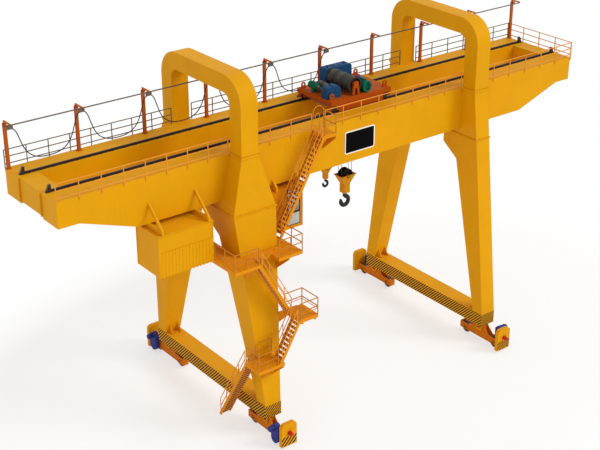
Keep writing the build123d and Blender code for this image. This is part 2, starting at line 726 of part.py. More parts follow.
class Flight:
    """A straight stair flight between two levels, rising along X or Y."""

    def __init__(self, axis, foot, foot_z, top_z, heading, edge):
        self.axis = axis
        self.heading = heading
        self.foot_z, self.top_z = foot_z, top_z
        self.edge = edge
        self.foot = foot

    @property
    def run(self):
        """The flight's length on plan."""
        return (self.top_z - self.foot_z) / PITCH_TAN

    @property
    def top(self):
        """Where the flight ends on plan."""
        return self.foot + self.heading * self.run

    def prism(self, outline, start, width):
        """Carry an outline of (distance, level) points across the flight."""
        points = [(self.foot + self.heading * d, z) for d, z in outline]
        if self.axis == "x":
            return prism_y(points, start, start + width)
        return prism_x(points, start, start + width)

    def stringers(self):
        """The two side plates."""
        half = STRINGER_DEPTH / 2 / cos(radians(STAIR_PITCH))
        back = half / PITCH_TAN
        outline = [
            (-back, self.foot_z), (back, self.foot_z), (self.run, self.top_z - half),
            (self.run, self.top_z), (self.run - back, self.top_z),
        ]
        starts = (self.edge, self.edge + STAIR_WIDTH - STRINGER_THICK)
        return [self.prism(outline, start, STRINGER_THICK) for start in starts]

    def treads(self):
        """The treads between the side plates."""
        count = round((self.top_z - self.foot_z) / RISER)
        rise = (self.top_z - self.foot_z) / count
        width = STAIR_WIDTH - 2 * STRINGER_THICK
        steps = []
        for step in range(1, count):
            z = self.foot_z + step * rise
            d = step * rise / PITCH_TAN
            near, far = d - TREAD_DEPTH / 2, d + TREAD_DEPTH / 2
            outline = [(near, z - TREAD_THICK), (far, z - TREAD_THICK), (far, z), (near, z)]
            steps.append(self.prism(outline, self.edge + STRINGER_THICK, width))
        return steps

    def handrail(self, near):
        """A rail over one side plate, on upright posts."""
        start = self.edge if near else self.edge + STAIR_WIDTH - STRINGER_THICK
        back = STRINGER_DEPTH / 2 / cos(radians(STAIR_PITCH)) / PITCH_TAN
        posts = max(2, ceil(self.run / (POST_PITCH / 2)) + 1)
        thick = POST / cos(radians(STAIR_PITCH))
        first, last = POST, self.run - back - POST
        rail = None
        for level in (RAIL_TOP, RAIL_TOP / 2):
            low, high = self.foot_z + level + first * PITCH_TAN, self.foot_z + level + last * PITCH_TAN
            outline = [(first, low - thick), (last, high - thick), (last, high), (first, low)]
            bar = self.prism(outline, start, STRINGER_THICK)
            rail = bar if rail is None else rail + bar
        for step in range(posts):
            d = first + (last - POST - first) * step / (posts - 1)
            low = self.foot_z + (d + back) * PITCH_TAN
            slope = POST * PITCH_TAN
            high = self.foot_z + RAIL_TOP + d * PITCH_TAN
            outline = [(d, low), (d + POST, low + slope), (d + POST, high + slope - thick), (d, high - thick)]
            rail += self.prism(outline, start, STRINGER_THICK)
        return rail


STAIR_LIMIT = leg_outer(LANDING_Z - PLATFORM_DEPTH) + STAIR_CLEARANCE
STAIR_INNER = -STAIR_MODULE * ceil(STAIR_LIMIT / STAIR_MODULE)
INNER_EDGE = STAIR_INNER - STAIR_WIDTH
OUTER_EDGE = INNER_EDGE - FLIGHT_GAP - STAIR_WIDTH
STAIR_FRONT = OUTER_EDGE - FLIGHT_GAP / 2
UPPER_FRONT = INNER_EDGE - FLIGHT_GAP / 2
LANDING_INNER = STAIR_INNER + LANDING_MARGIN
LOWER_INNER = -leg_outer(LOWER_Z - PLATFORM_DEPTH) - PLATFORM_CLEARANCE
UPPER_INNER = -leg_outer(UPPER_Z - PLATFORM_DEPTH) - PLATFORM_CLEARANCE


def flights():
    """The four flights from the foot up to the girders."""
    def run(low, high):
        return (high - low) / PITCH_TAN
    ground = Flight("y", LOWER_INNER + run(STAIR_FOOT_Z, LOWER_Z), STAIR_FOOT_Z, LOWER_Z, -1,
                    LOWER_LEFT + FLIGHT_GAP)
    lower = Flight("x", LANDING_LEFT - run(LOWER_Z, LANDING_Z), LOWER_Z, LANDING_Z, 1, OUTER_EDGE)
    upper = Flight("x", LANDING_LEFT, LANDING_Z, UPPER_Z, -1, INNER_EDGE)
    girder_edge = GIRDER_STAIR_INNER - STAIR_WIDTH
    last = Flight("x", UPPER_RIGHT, UPPER_Z, GIRDER_TOP, 1, girder_edge)
    return {"ground": ground, "lower": lower, "upper": upper, "girder": last}


FLIGHTS = flights()
WELL_LEFT = FLIGHTS["upper"].top
TOP_LANDING_LEFT = FLIGHTS["girder"].top


def tray(x0, x1, y0, y1, top):
    """A floor plate on a rim of edge beams, open below."""
    floor = block(x0, x1, y0, y1, top - PLATFORM_DEPTH, top)
    under = top - PLATFORM_PLATE
    return floor - block(x0 + PLATFORM_RIM, x1 - PLATFORM_RIM, y0 + PLATFORM_RIM, y1 - PLATFORM_RIM,
                         top - PLATFORM_DEPTH, under)


def leg_bracket(x, level, reach):
    """A knee plate from the rigid leg's outer face to under a platform."""
    high = level - PLATFORM_DEPTH
    low = high - BRACKET_DROP
    outline = [(-leg_outer(low), low), (-leg_outer(high), high), (reach, high), (reach, high - BEAM_WIDTH)]
    return prism_x(outline, x - BRACKET_WIDTH / 2, x + BRACKET_WIDTH / 2)


def lower_platform():
    """The platform round the rigid leg's foot, where the ground stair ends."""
    floor = tray(LOWER_LEFT, LOWER_RIGHT, STAIR_FRONT, LOWER_INNER, LOWER_Z)
    reach = STAIR_FRONT + PLATFORM_RIM / 2
    half = rigid_half(LOWER_Z - PLATFORM_DEPTH - BRACKET_DROP) - BRACKET_WIDTH
    for x in (RIGID_X - half, LOWER_RIGHT - BRACKET_WIDTH):
        floor += leg_bracket(x, LOWER_Z, reach)
    return floor


def stair_landing():
    """The half-way landing, on beams from the rigid leg's side."""
    right = LANDING_LEFT + LANDING_LENGTH
    floor = tray(LANDING_LEFT, right, STAIR_FRONT, LANDING_INNER, LANDING_Z)
    high = LANDING_Z - PLATFORM_DEPTH
    low = high - BEAM_WIDTH
    beam = LANDING_INNER + 2 * BEAM_WIDTH
    for x in (LANDING_LEFT + BEAM_WIDTH, right - 2 * BEAM_WIDTH):
        floor += block(x, x + BEAM_WIDTH, STAIR_FRONT + PLATFORM_RIM / 2, beam + BEAM_WIDTH, low, high)
    knee = low - BRACKET_DROP / 2
    outline = [
        (RIGID_X + rigid_half(high), high), (right - BEAM_WIDTH, high), (right - BEAM_WIDTH, low),
        (RIGID_X + rigid_half(knee), knee),
    ]
    return floor + prism_y(outline, beam, beam + BEAM_WIDTH)


def upper_platform():
    """The platform round the rigid leg's shoulder, notched where the upper flight comes up."""
    floor = tray(UPPER_LEFT, WELL_LEFT, UPPER_FRONT, UPPER_INNER, UPPER_Z)
    well_right = WELL_LEFT + WELL_LENGTH
    well_back = INNER_EDGE + STAIR_WIDTH + FLIGHT_GAP / 2
    floor += tray(WELL_LEFT, well_right, well_back, UPPER_INNER, UPPER_Z)
    floor += tray(well_right, UPPER_RIGHT, UPPER_FRONT, UPPER_INNER, UPPER_Z)
    half = rigid_half(UPPER_Z) + PLATFORM_CLEARANCE
    floor += tray(UPPER_LEFT, RIGID_X - half, UPPER_INNER, WING_BACK, UPPER_Z)
    floor += tray(RIGID_X + half, UPPER_RIGHT, UPPER_INNER, WING_BACK, UPPER_Z)
    inset = rigid_half(UPPER_Z - PLATFORM_DEPTH - BRACKET_DROP) - BRACKET_WIDTH
    for x in (RIGID_X - inset, RIGID_X + inset):
        floor += leg_bracket(x, UPPER_Z, UPPER_FRONT + PLATFORM_RIM / 2)
    return floor


def top_landing():
    """The small landing between the last flight and the girder's top, on two knee plates."""
    edge = GIRDER_STAIR_INNER - STAIR_WIDTH
    left, right = TOP_LANDING_LEFT, TOP_LANDING_LEFT + TOP_LANDING
    floor = tray(left, right, edge, -GIRDER_OUTER, GIRDER_TOP)
    under = GIRDER_TOP - PLATFORM_DEPTH
    outline = [
        (-GIRDER_OUTER, under), (edge, under), (edge, under - BEAM_WIDTH),
        (-GIRDER_OUTER, under - BRACKET_DROP),
    ]
    for start in (left, right - BRACKET_WIDTH):
        floor += prism_x(outline, start, start + BRACKET_WIDTH)
    return floor


def railing(path, base, height, levels, pitch=POST_PITCH):
    """Straight runs of square posts and bars along a path of (x, y) points, each ending at a corner post."""
    half = POST / 2
    runs = []
    for index, ((x0, y0), (x1, y1)) in enumerate(zip(path, path[1:])):
        length = max(abs(x1 - x0), abs(y1 - y0))
        along_x, along_y = (x1 - x0) / length, (y1 - y0) / length
        count = max(1, ceil(length / pitch))
        pieces = []
        for step in range(1 if index else 0, count + 1):
            x, y = x0 + (x1 - x0) * step / count, y0 + (y1 - y0) * step / count
            pieces.append(block(x - half, x + half, y - half, y + half, base, base + height))
        start = half + RUN_GAP if index else -half
        wide_x, wide_y = abs(along_y) * half, abs(along_x) * half
        low_x, high_x = sorted((x0 + along_x * start, x1 + along_x * half))
        low_y, high_y = sorted((y0 + along_y * start, y1 + along_y * half))
        for level in range(1, levels + 1):
            z = base + height * level / levels
            pieces.append(block(low_x - wide_x, high_x + wide_x, low_y - wide_y, high_y + wide_y, z - POST, z))
        run = pieces[0]
        for piece in pieces[1:]:
            run += piece
        runs.append(run)
    return runs


def inset_path(points):
    """Shift a path of platform corners in by half a post."""
    return [(x + POST / 2 * sx, y + POST / 2 * sy) for x, y, sx, sy in points]


def platform_railings():
    """The railings of the three platforms and the top landing."""
    right = LANDING_LEFT + LANDING_LENGTH
    ground_right = LOWER_LEFT + FLIGHT_GAP + STAIR_WIDTH + POST
    well_right = WELL_LEFT + WELL_LENGTH
    edge = GIRDER_STAIR_INNER - STAIR_WIDTH
    end = TOP_LANDING_LEFT + TOP_LANDING
    lower_end = FLIGHTS["lower"].foot - STRINGER_DEPTH
    runs = [
        ([(LOWER_LEFT, LOWER_INNER, 1, -1), (LOWER_LEFT, STAIR_FRONT, 1, 1), (lower_end, STAIR_FRONT, -1, 1)],
         LOWER_Z),
        ([(ground_right, LOWER_INNER, 1, -1), (LOWER_RIGHT, LOWER_INNER, -1, -1)], LOWER_Z),
        ([(LANDING_LEFT, STAIR_FRONT, 1, 1), (right, STAIR_FRONT, -1, 1), (right, LANDING_INNER, -1, -1),
          (LANDING_LEFT, LANDING_INNER, 1, -1)], LANDING_Z),
        ([(UPPER_LEFT, HOUSE_FRONT, 1, -1), (UPPER_LEFT, UPPER_FRONT, 1, 1), (WELL_LEFT, UPPER_FRONT, -1, 1)],
         UPPER_Z),
        ([(well_right, UPPER_FRONT, 1, 1), (UPPER_RIGHT, UPPER_FRONT, -1, 1), (UPPER_RIGHT, edge, -1, -1)],
         UPPER_Z),
        ([(TOP_LANDING_LEFT, edge, 1, 1), (end, edge, -1, 1), (end, -GIRDER_OUTER, -1, -1)], GIRDER_TOP),
    ]
    return [run for points, level in runs for run in railing(inset_path(points), level, RAIL_TOP, RAIL_COUNT)]


def girder_runs(gaps):
    """Split the girder's length into railing runs between gaps."""
    edges = [-GIRDER_END + POST / 2]
    for low, high in sorted(gaps):
        edges += [low - RAIL_CLEARANCE, high + RAIL_CLEARANCE]
    edges.append(GIRDER_END - POST / 2)
    return list(zip(edges[::2], edges[1::2]))


def arch_gaps():
    """The stretches of the girder's edge that the arches take."""
    half = LEG_WIDTH / 2 + FLANGE_REACH
    return [(x - half, x + half) for x in (RIGID_X, FLEXIBLE_X)]


def girder_railing(side, gaps):
    """Railing runs along a girder's outer top edge."""
    y = side * (GIRDER_OUTER + POST / 2)
    base = GIRDER_TOP - GIRDER_POST_DROP
    height = GIRDER_POST_DROP + GIRDER_RAIL_TOP
    lines = [[(low, y), (high, y)] for low, high in girder_runs(gaps)]
    return [run for line in lines for run in railing(line, base, height, GIRDER_RAIL_COUNT)]


def end_railing():
    """The railing across the far end, on the girders' end faces."""
    x = GIRDER_END + POST / 2
    y = GIRDER_OUTER + POST / 2
    base = GIRDER_TOP - GIRDER_POST_DROP
    height = GIRDER_POST_DROP + GIRDER_RAIL_TOP
    return railing([(x, -y), (x, y)], base, height, GIRDER_RAIL_COUNT)


def festoon_post_x(index):
    """The place of a festoon post along the girder."""
    return FESTOON_FIRST + index * FESTOON_PITCH


def festoon_post(index):
    """A post on the back girder with its arm over the cable track."""
    x = festoon_post_x(index)
    half = FESTOON_POST / 2
    top = GIRDER_TOP + FESTOON_HEIGHT
    post = block(x - half, x + half, FESTOON_Y - half, FESTOON_Y + half, GIRDER_TOP, top)
    arm = block(x - half, x + half, TRACK_Y - TRACK_TUBE, FESTOON_Y - half, top - FESTOON_ARM, top)
    return post + arm


TRACK_TOP = GIRDER_TOP + FESTOON_HEIGHT - FESTOON_ARM
TRACK_LOW = TRACK_TOP - TRACK_TUBE
CABLE_PEAK = TRACK_LOW - CARRIER_DROP + CABLE_RADIUS * 2


def festoon_track():
    """The square track under the posts' arms, with the cable carriers on it."""
    half = TRACK_TUBE / 2
    low, high = festoon_post_x(0) - FESTOON_POST, festoon_post_x(FESTOON_POSTS - 1) + FESTOON_POST
    track = block(low, high, TRACK_Y - half, TRACK_Y + half, TRACK_LOW, TRACK_TOP)
    for index in range(CABLE_BAYS + 1):
        x = festoon_post_x(index)
        wide, deep = CARRIER_LENGTH / 2, CARRIER_WIDTH / 2
        track += block(x - wide, x + wide, TRACK_Y - deep, TRACK_Y + deep, TRACK_LOW - CARRIER_DROP, TRACK_LOW)
    return track


# One hanging loop of the cable: share of the bay along X, and drop below the carriers.
CABLE_LOOP = [
    (0.04, 15), (0.085, 290), (0.12, 760), (0.16, 1250), (0.218, 1660), (0.312, 1940), (0.42, 2055),
    (0.58, 2055), (0.688, 1940), (0.782, 1660), (0.84, 1250), (0.88, 760), (0.915, 290), (0.96, 15),
]
CABLE_TAIL = (0.035, 15)


def cable_route():
    """The cable's points from the first carrier to the last."""
    tail, drop = CABLE_TAIL
    route = [(festoon_post_x(0) - tail * FESTOON_PITCH, TRACK_Y, CABLE_PEAK - drop)]
    for bay in range(CABLE_BAYS):
        start = festoon_post_x(bay)
        route += [(start + share * FESTOON_PITCH, TRACK_Y, CABLE_PEAK - low) for share, low in CABLE_LOOP]
    route.append((festoon_post_x(CABLE_BAYS) + tail * FESTOON_PITCH, TRACK_Y, CABLE_PEAK - drop))
    return [Vector(*point) for point in route]


def cable_radii(route):
    """The largest bend that each corner's runs leave room for."""
    radii = []
    for before, here, after in zip(route, route[1:], route[2:]):
        turn = (here - before).get_angle(after - here)
        run = min((here - before).length, (after - here).length)
        radii.append(0.45 * run / tan(radians(turn / 2)))
    return radii


def festoon_cable():
    """The hanging cable as a tube of straight runs and tangent arcs."""
    route = cable_route()
    radii = cable_radii(route)
    path = FilletPolyline(*route, radius=radii)
    section = Plane(origin=path @ 0, z_dir=path % 0) * Circle(CABLE_RADIUS)
    tube = sweep(section, path=path)
    print("cable radii", sorted({round(radius) for radius in radii}))
    share = tube.volume / (section.area * path.length)
    print("cable length", round(path.length), "volume share", round(share, 6))
    return tube


def load_plate():
    """The bare plate on the front girder's face."""
    outline = Pos(PLATE_LEFT + PLATE_LENGTH / 2, PLATE_BOTTOM + PLATE_HEIGHT / 2)
    outline = outline * RectangleRounded(PLATE_LENGTH, PLATE_HEIGHT, PLATE_RADIUS)
    return Pos(0, -GIRDER_OUTER, 0) * extrude(Plane.XZ * outline, amount=PLATE_THICK)


# Trolley lines
TROLLEY_RIGHT = TROLLEY_LEFT + TROLLEY_LENGTH
DECK_UNDER = TROLLEY_AXLE_Z + TROLLEY_WHEEL + TROLLEY_FLANGE + WHEEL_HEADROOM
TROLLEY_DECK = DECK_UNDER + TROLLEY_DEPTH
AXLE_PLACES = (TROLLEY_LEFT + AXLE_INSET, TROLLEY_RIGHT - AXLE_INSET)
DRUM_Z = TROLLEY_DECK + DRUM_RISE
MOTOR_Z = TROLLEY_DECK + MOTOR_RISE
AUX_Z = TROLLEY_DECK + AUX_RISE
AUX_MOTOR_X = AUX_X - AUX_CENTRES
MAIN_ROPE_X = DRUM_X + DRUM_RADIUS + ROPE_RADIUS
AUX_ROPE_X = AUX_X + AUX_RADIUS + ROPE_RADIUS
DRUM_FRONT = DRUM_BACK - DRUM_LENGTH
AUX_FRONT = AUX_BACK - AUX_LENGTH
GEARBOX_FACE = DRUM_BACK + END_GAP
AUX_GEAR_FACE = AUX_FRONT - END_GAP


def trolley_frame():
    """The trolley's frame, with its skirts, axle pedestals, drum bearings, bumpers and lifting lugs."""
    half = TROLLEY_HALF_WIDTH
    frame = block(TROLLEY_LEFT, TROLLEY_RIGHT, -half, half, DECK_UNDER, TROLLEY_DECK)
    for hook, line in ((MAIN_BLOCK, MAIN_ROPE_X), (AUX_BLOCK, AUX_ROPE_X)):
        side = hook.lane(hook.sheaves - 1) + ROPE_SLOT_SIDE
        start = line - ROPE_SLOT / 3
        frame -= block(start, start + ROPE_SLOT, -side, side, DECK_UNDER, TROLLEY_DECK)
    low, high = AXLE_PLACES[0] + SKIRT_SETBACK, AXLE_PLACES[1] - SKIRT_SETBACK
    for side in (-1, 1):
        near, far = side * SKIRT_Y, side * (SKIRT_Y + SKIRT_THICK)
        frame += block(low, high, near, far, GIRDER_TOP + SKIRT_CLEARANCE, DECK_UNDER)
    for x in AXLE_PLACES:
        for side in (-1, 1):
            y = side * PEDESTAL_Y
            frame += block(x - PEDESTAL_LENGTH / 2, x + PEDESTAL_LENGTH / 2, y - PEDESTAL_WIDTH / 2,
                           y + PEDESTAL_WIDTH / 2, TROLLEY_AXLE_Z - 2 * TROLLEY_AXLE, DECK_UNDER)
        frame -= rod((x, -half, TROLLEY_AXLE_Z), (x, half, TROLLEY_AXLE_Z), TROLLEY_AXLE + RUNNING_GAP)
    for end, face in ((-1, TROLLEY_LEFT), (1, TROLLEY_RIGHT)):
        for side in (-1, 1):
            frame += bumper(face, end, side * RAIL_Y)
            frame += lifting_lug(face - end * LUG_INSET, side * LUG_Y)
    frame += plummer(DRUM_X, DRUM_Z, DRUM_FRONT, -1, DRUM_SHAFT, BEARING_WIDTH, BEARING_TOP, BEARING_CROWN,
                     BEARING_GAP, BEARING_WEB)
    return frame + plummer(AUX_X, AUX_Z, AUX_BACK, 1, AUX_SHAFT, AUX_BEARING_WIDTH, AUX_BEARING_TOP,
                           AUX_BEARING_CROWN, AUX_BEARING_GAP, AUX_BEARING_WEB)


def bumper(face, end, y):
    """A round bumper on its drop plate at a corner of the trolley."""
    wide, z = BUMPER_PLATE_WIDTH / 2, TROLLEY_AXLE_Z
    plate = block(face - end * BUMPER_PLATE, face, y - wide, y + wide, z - BUMPER_RADIUS, DECK_UNDER)
    return plate + rod((face, y, z), (face + end * BUMPER_LENGTH, y, z), BUMPER_RADIUS)


def lifting_lug(x, y):
    """An upright plate with a round head and a hole in it."""
    head = LUG_HEIGHT - LUG_WIDTH / 2
    shape = Pos(0, head / 2) * Rectangle(LUG_WIDTH, head) + Pos(0, head) * Circle(LUG_WIDTH / 2)
    shape -= Pos(0, head) * Circle(LUG_HOLE)
    return Pos(x, y + LUG_THICK / 2, TROLLEY_DECK) * extrude(Plane.XZ * shape, amount=LUG_THICK)


def plummer(x, z, end, heading, shaft, width, top, crown, gap, web):
    """The two-legged bracket that carries a drum's free end."""
    face = end + heading * END_GAP
    low, high = sorted((face, face + heading * BEARING_THICK))
    foot, head = width / 2, top / 2
    legs = [(x - foot, TROLLEY_DECK), (x + foot, TROLLEY_DECK), (x + head, z + crown), (x - head, z + crown)]
    arch_top = z - web
    window = [
        (x - gap / 2, TROLLEY_DECK), (x + gap / 2, TROLLEY_DECK), (x + gap / 4, arch_top), (x - gap / 4, arch_top),
    ]
    bracket = prism_y(legs, low, high) - prism_y(window, low, high)
    seat = face + heading * (SHAFT_SEAT + RUNNING_GAP)
    return bracket - rod((x, face, z), (x, seat, z), shaft + RUNNING_GAP)


def axle_set(x):
    """An axle with a flanged wheel on each trolley rail."""
    half = TROLLEY_TREAD / 2
    lip = half + TROLLEY_FLANGE
    rim = TROLLEY_WHEEL + TROLLEY_FLANGE
    right = [
        (TROLLEY_AXLE, RAIL_Y - lip), (rim, RAIL_Y - lip), (rim, RAIL_Y - half), (TROLLEY_WHEEL, RAIL_Y - half),
        (TROLLEY_WHEEL, RAIL_Y + half), (rim, RAIL_Y + half), (rim, RAIL_Y + lip), (0, RAIL_Y + lip),
    ]
    outline = right + [(r, -h) for r, h in reversed(right)]
    face = make_face(Polyline([(r, 0, h) for r, h in outline], close=True))
    return Pos(x, 0, TROLLEY_AXLE_Z) * Rot(90, 0, 0) * revolve(face, axis=Axis.Z)


def drum(radius, wall, pocket, shaft, length):
    """A rope drum along Y with end flanges, shaft ends and a pocket in its free end at Y = 0."""
    rim = radius + DRUM_FLANGE
    seat = SHAFT_SEAT + END_GAP
    outline = [
        (0, -seat), (shaft, -seat), (shaft, pocket), (radius - wall, pocket), (radius - wall, 0), (rim, 0),
        (rim, DRUM_FLANGE), (radius, DRUM_FLANGE), (radius, length - DRUM_FLANGE), (rim, length - DRUM_FLANGE),
        (rim, length), (shaft, length), (shaft, length + seat), (0, length + seat),
    ]
    face = make_face(Polyline([(r, h, 0) for r, h in outline], close=True))
    return revolve(face, axis=Axis.Y)


def main_drum():
    """The main drum, with its free end to the front."""
    turned = drum(DRUM_RADIUS, DRUM_WALL, DRUM_POCKET, DRUM_SHAFT, DRUM_LENGTH)
    return Pos(DRUM_X, DRUM_FRONT, DRUM_Z) * turned


def aux_drum():
    """The auxiliary drum, with its free end to the back."""
    turned = drum(AUX_RADIUS, AUX_WALL, AUX_POCKET, AUX_SHAFT, AUX_LENGTH)
    return Pos(AUX_X, AUX_BACK, AUX_Z) * Rot(0, 0, 180) * turned


def main_gearbox():
    """The main hoist's gear case at the back of the drum."""
    outline = Pos(GEARBOX_LEFT + GEARBOX_LENGTH / 2, TROLLEY_DECK + GEARBOX_HEIGHT / 2)
    outline = outline * Rectangle(GEARBOX_LENGTH, GEARBOX_HEIGHT)
    outline = fillet(outline.vertices().group_by(Axis.Y)[-1], GEARBOX_RADIUS)
    case = Pos(0, GEARBOX_FACE + GEARBOX_DEPTH, 0) * extrude(Plane.XZ * outline, amount=GEARBOX_DEPTH)
    end = GEARBOX_FACE + SHAFT_SEAT + RUNNING_GAP
    return case - rod((DRUM_X, GEARBOX_FACE, DRUM_Z), (DRUM_X, end, DRUM_Z), DRUM_SHAFT + RUNNING_GAP)


def aux_gearbox():
    """The auxiliary hoist's gear case: a lobe round the drum's line and a smaller one round the motor's."""
    left, right = AUX_MOTOR_X - AUX_GEAR_SMALL_LOBE, AUX_X + AUX_GEAR_LOBE
    shape = Pos((left + right) / 2, (TROLLEY_DECK + AUX_Z) / 2) * Rectangle(right - left, AUX_RISE)
    shape += Pos(AUX_X, AUX_Z) * Circle(AUX_GEAR_LOBE)
    shape += Pos(AUX_MOTOR_X, AUX_Z) * Circle(AUX_GEAR_SMALL_LOBE)
    case = Pos(0, AUX_GEAR_FACE, 0) * extrude(Plane.XZ * shape, amount=AUX_GEAR_DEPTH)
    front = AUX_GEAR_FACE - AUX_GEAR_DEPTH
    case += rod((AUX_X, front, AUX_Z), (AUX_X, front - AUX_CAP, AUX_Z), AUX_CAP_RADIUS)
    end = AUX_GEAR_FACE - SHAFT_SEAT - RUNNING_GAP
    return case - rod((AUX_X, end, AUX_Z), (AUX_X, AUX_GEAR_FACE, AUX_Z), AUX_SHAFT + RUNNING_GAP)


def main_motor():
    """The main hoist motor with its brake, and the shaft to the gear case."""
    back = MOTOR_FRONT + MOTOR_LENGTH
    coupling = back + BRAKE_LENGTH
    motor = rod((MOTOR_X, MOTOR_FRONT, MOTOR_Z), (MOTOR_X, back, MOTOR_Z), MOTOR_RADIUS)
    motor += rod((MOTOR_X, back, MOTOR_Z), (MOTOR_X, coupling, MOTOR_Z), BRAKE_RADIUS)
    motor += rod((MOTOR_X, coupling, MOTOR_Z), (MOTOR_X, GEARBOX_FACE, MOTOR_Z), MOTOR_SHAFT)
    half, middle = MOTOR_FOOT / 2, MOTOR_FRONT + MOTOR_LENGTH / 2
    return motor + block(MOTOR_X - half, MOTOR_X + half, middle - half, middle + half, TROLLEY_DECK, MOTOR_Z)


def aux_motor():
    """The auxiliary hoist motor beside its drum, with the shaft and flange to the gear case."""
    x, z = AUX_MOTOR_X, AUX_Z
    back = AUX_MOTOR_FRONT + AUX_MOTOR_LENGTH
    motor = rod((x, AUX_MOTOR_FRONT, z), (x, back, z), AUX_MOTOR_RADIUS)
    motor += rod((x, AUX_GEAR_FACE, z), (x, AUX_MOTOR_FRONT, z), AUX_MOTOR_SHAFT)
    motor += rod((x, AUX_GEAR_FACE, z), (x, AUX_GEAR_FACE + AUX_FLANGE, z), AUX_FLANGE_RADIUS)
    half, middle = AUX_MOTOR_FOOT / 2, AUX_MOTOR_FRONT + AUX_MOTOR_LENGTH / 2
    return motor + block(x - half, x + half, middle - half, middle + half, TROLLEY_DECK, z)


class HookBlock:
    """A bottom block: grooved sheaves in a flared housing on a square yoke, and a hook on a swivel below."""

    def __init__(self, x, axle_z, radius, sheaves):
        self.x, self.axle_z, self.radius = x, axle_z, radius
        self.sheaves = sheaves
        self.scale = radius / MAIN_SHEAVE

    def size(self, value):
        """A size of the main block carried over to this block."""
        return value * self.scale

    def lane(self, index):
        """Where a sheave stands along the axle."""
        return self.size(SHEAVE_PITCH) * (index - (self.sheaves - 1) / 2)

    @property
    def foot(self):
        """The underside of the block, where the hook's shank comes out."""
        return self.axle_z - self.size(BLOCK_DROP)

    def funnel(self, wall):
        """The flared form from the yoke up to the rim, drawn in by a wall."""
        low, high = self.axle_z - self.size(FLARE_DROP), self.axle_z + self.size(HOUSING_RISE)
        neck = self.size(YOKE_SIDE) / 2 - wall
        long, wide = self.size(HOUSING_LENGTH) / 2 - wall, self.size(HOUSING_WIDTH) / 2 - wall
        side = [(self.x - neck, low), (self.x + neck, low), (self.x + long, high), (self.x - long, high)]
        end = [(-neck, low), (neck, low), (wide, high), (-wide, high)]
        return prism_y(side, -wide, wide) & prism_x(end, self.x - long, self.x + long)

    def sheave_set(self):
        """The axle along Y with its grooved sheaves, turned as one piece."""
        pin, reach = self.size(BLOCK_AXLE), self.size(HOUSING_WIDTH / 2 + BLOCK_AXLE_HEAD)
        rim, floor = self.radius + ROPE_RADIUS, self.radius - ROPE_RADIUS
        outline = [(0, -reach), (pin, -reach)]
        for index in range(self.sheaves):
            y = self.lane(index)
            low, high = y - SHEAVE_THICK / 2, y + SHEAVE_THICK / 2
            outline += [(pin, low), (rim, low), (floor, y - SHEAVE_ROOT / 2)]
            outline += [(floor, y + SHEAVE_ROOT / 2), (rim, high), (pin, high)]
        outline += [(pin, reach), (0, reach)]
        face = make_face(Polyline([(r, h, 0) for r, h in outline], close=True))
        return Pos(self.x, 0, self.axle_z) * revolve(face, axis=Axis.Y)

    def block(self):
        """The housing, the yoke, the axle and the sheaves as one body."""
        body = self.funnel(0) - self.funnel(self.size(HOUSING_WALL))
        side = self.size(YOKE_SIDE) / 2
        body += block(self.x - side, self.x + side, -side, side, self.foot, self.axle_z - self.size(FLARE_DROP))
        body += self.sheave_set()
        seat = self.foot + self.size(SHANK_SEAT)
        return body - rod((self.x, 0, self.foot), (self.x, 0, seat), self.size(SHANK_RADIUS) + RUNNING_GAP)

    def hook(self):
        """The forged hook: a round bowl of oval section with a drawn-out tip, on a neck and shank."""
        inner, outer = self.size(HOOK_INNER), self.size(HOOK_OUTER)
        bend, deep, thick = (outer + inner) / 2, (outer - inner) / 2, self.size(HOOK_THICK) / 2
        bowl = revolve(Plane.YZ * (Pos(0, bend) * Ellipse(thick, deep)), axis=Axis.Y, revolution_arc=270)
        tip = self.size(HOOK_TIP_RADIUS)
        lean, rise = self.size(HOOK_TIP_LEAN), self.size(HOOK_TIP)
        point = Pos(-bend - lean, 0, rise) * Ellipse(tip, tip * thick / deep)
        bowl += loft([Pos(-bend, 0, 0) * Ellipse(deep, thick), point])
        neck = self.foot - self.size(NECK_GAP)
        middle = self.foot - self.size(HOOK_DROP)
        hook = Pos(self.x, 0, middle) * bowl
        hook += rod((self.x, 0, middle + bend), (self.x, 0, neck), self.size(NECK_RADIUS))
        top = self.foot + self.size(SHANK_SEAT) - RUNNING_GAP
        return hook + rod((self.x, 0, neck), (self.x, 0, top), self.size(SHANK_RADIUS))

    def falls(self, line, drum_z):
        """The rope falls of each sheave: one up to the trolley's underside, one leading to the drum."""
        across, up = line - self.x, drum_z - self.axle_z
        turn = atan2(up, across) - acos(self.radius / hypot(across, up))
        foot_x, foot_z = self.x + self.radius * cos(turn), self.axle_z + self.radius * sin(turn)
        share = (DECK_UNDER - foot_z) / (drum_z - foot_z)
        head_x = foot_x + (line - foot_x) * share
        ropes = []
        for index in range(self.sheaves):
            y = self.lane(index)
            fixed = self.x - self.radius
            ropes.append(rod((fixed, y, self.axle_z), (fixed, y, DECK_UNDER), ROPE_RADIUS - CLEAR))
            ropes.append(rod((foot_x, y, foot_z), (head_x, y, DECK_UNDER), ROPE_RADIUS - CLEAR))
        return ropes


MAIN_BLOCK = HookBlock(DRUM_X + MAIN_OFFSET, GIRDER_BOTTOM - MAIN_HANG, MAIN_SHEAVE, MAIN_SHEAVES)
AUX_BLOCK = HookBlock(AUX_X + AUX_OFFSET, GIRDER_BOTTOM - AUX_HANG, AUX_SHEAVE, AUX_SHEAVES)


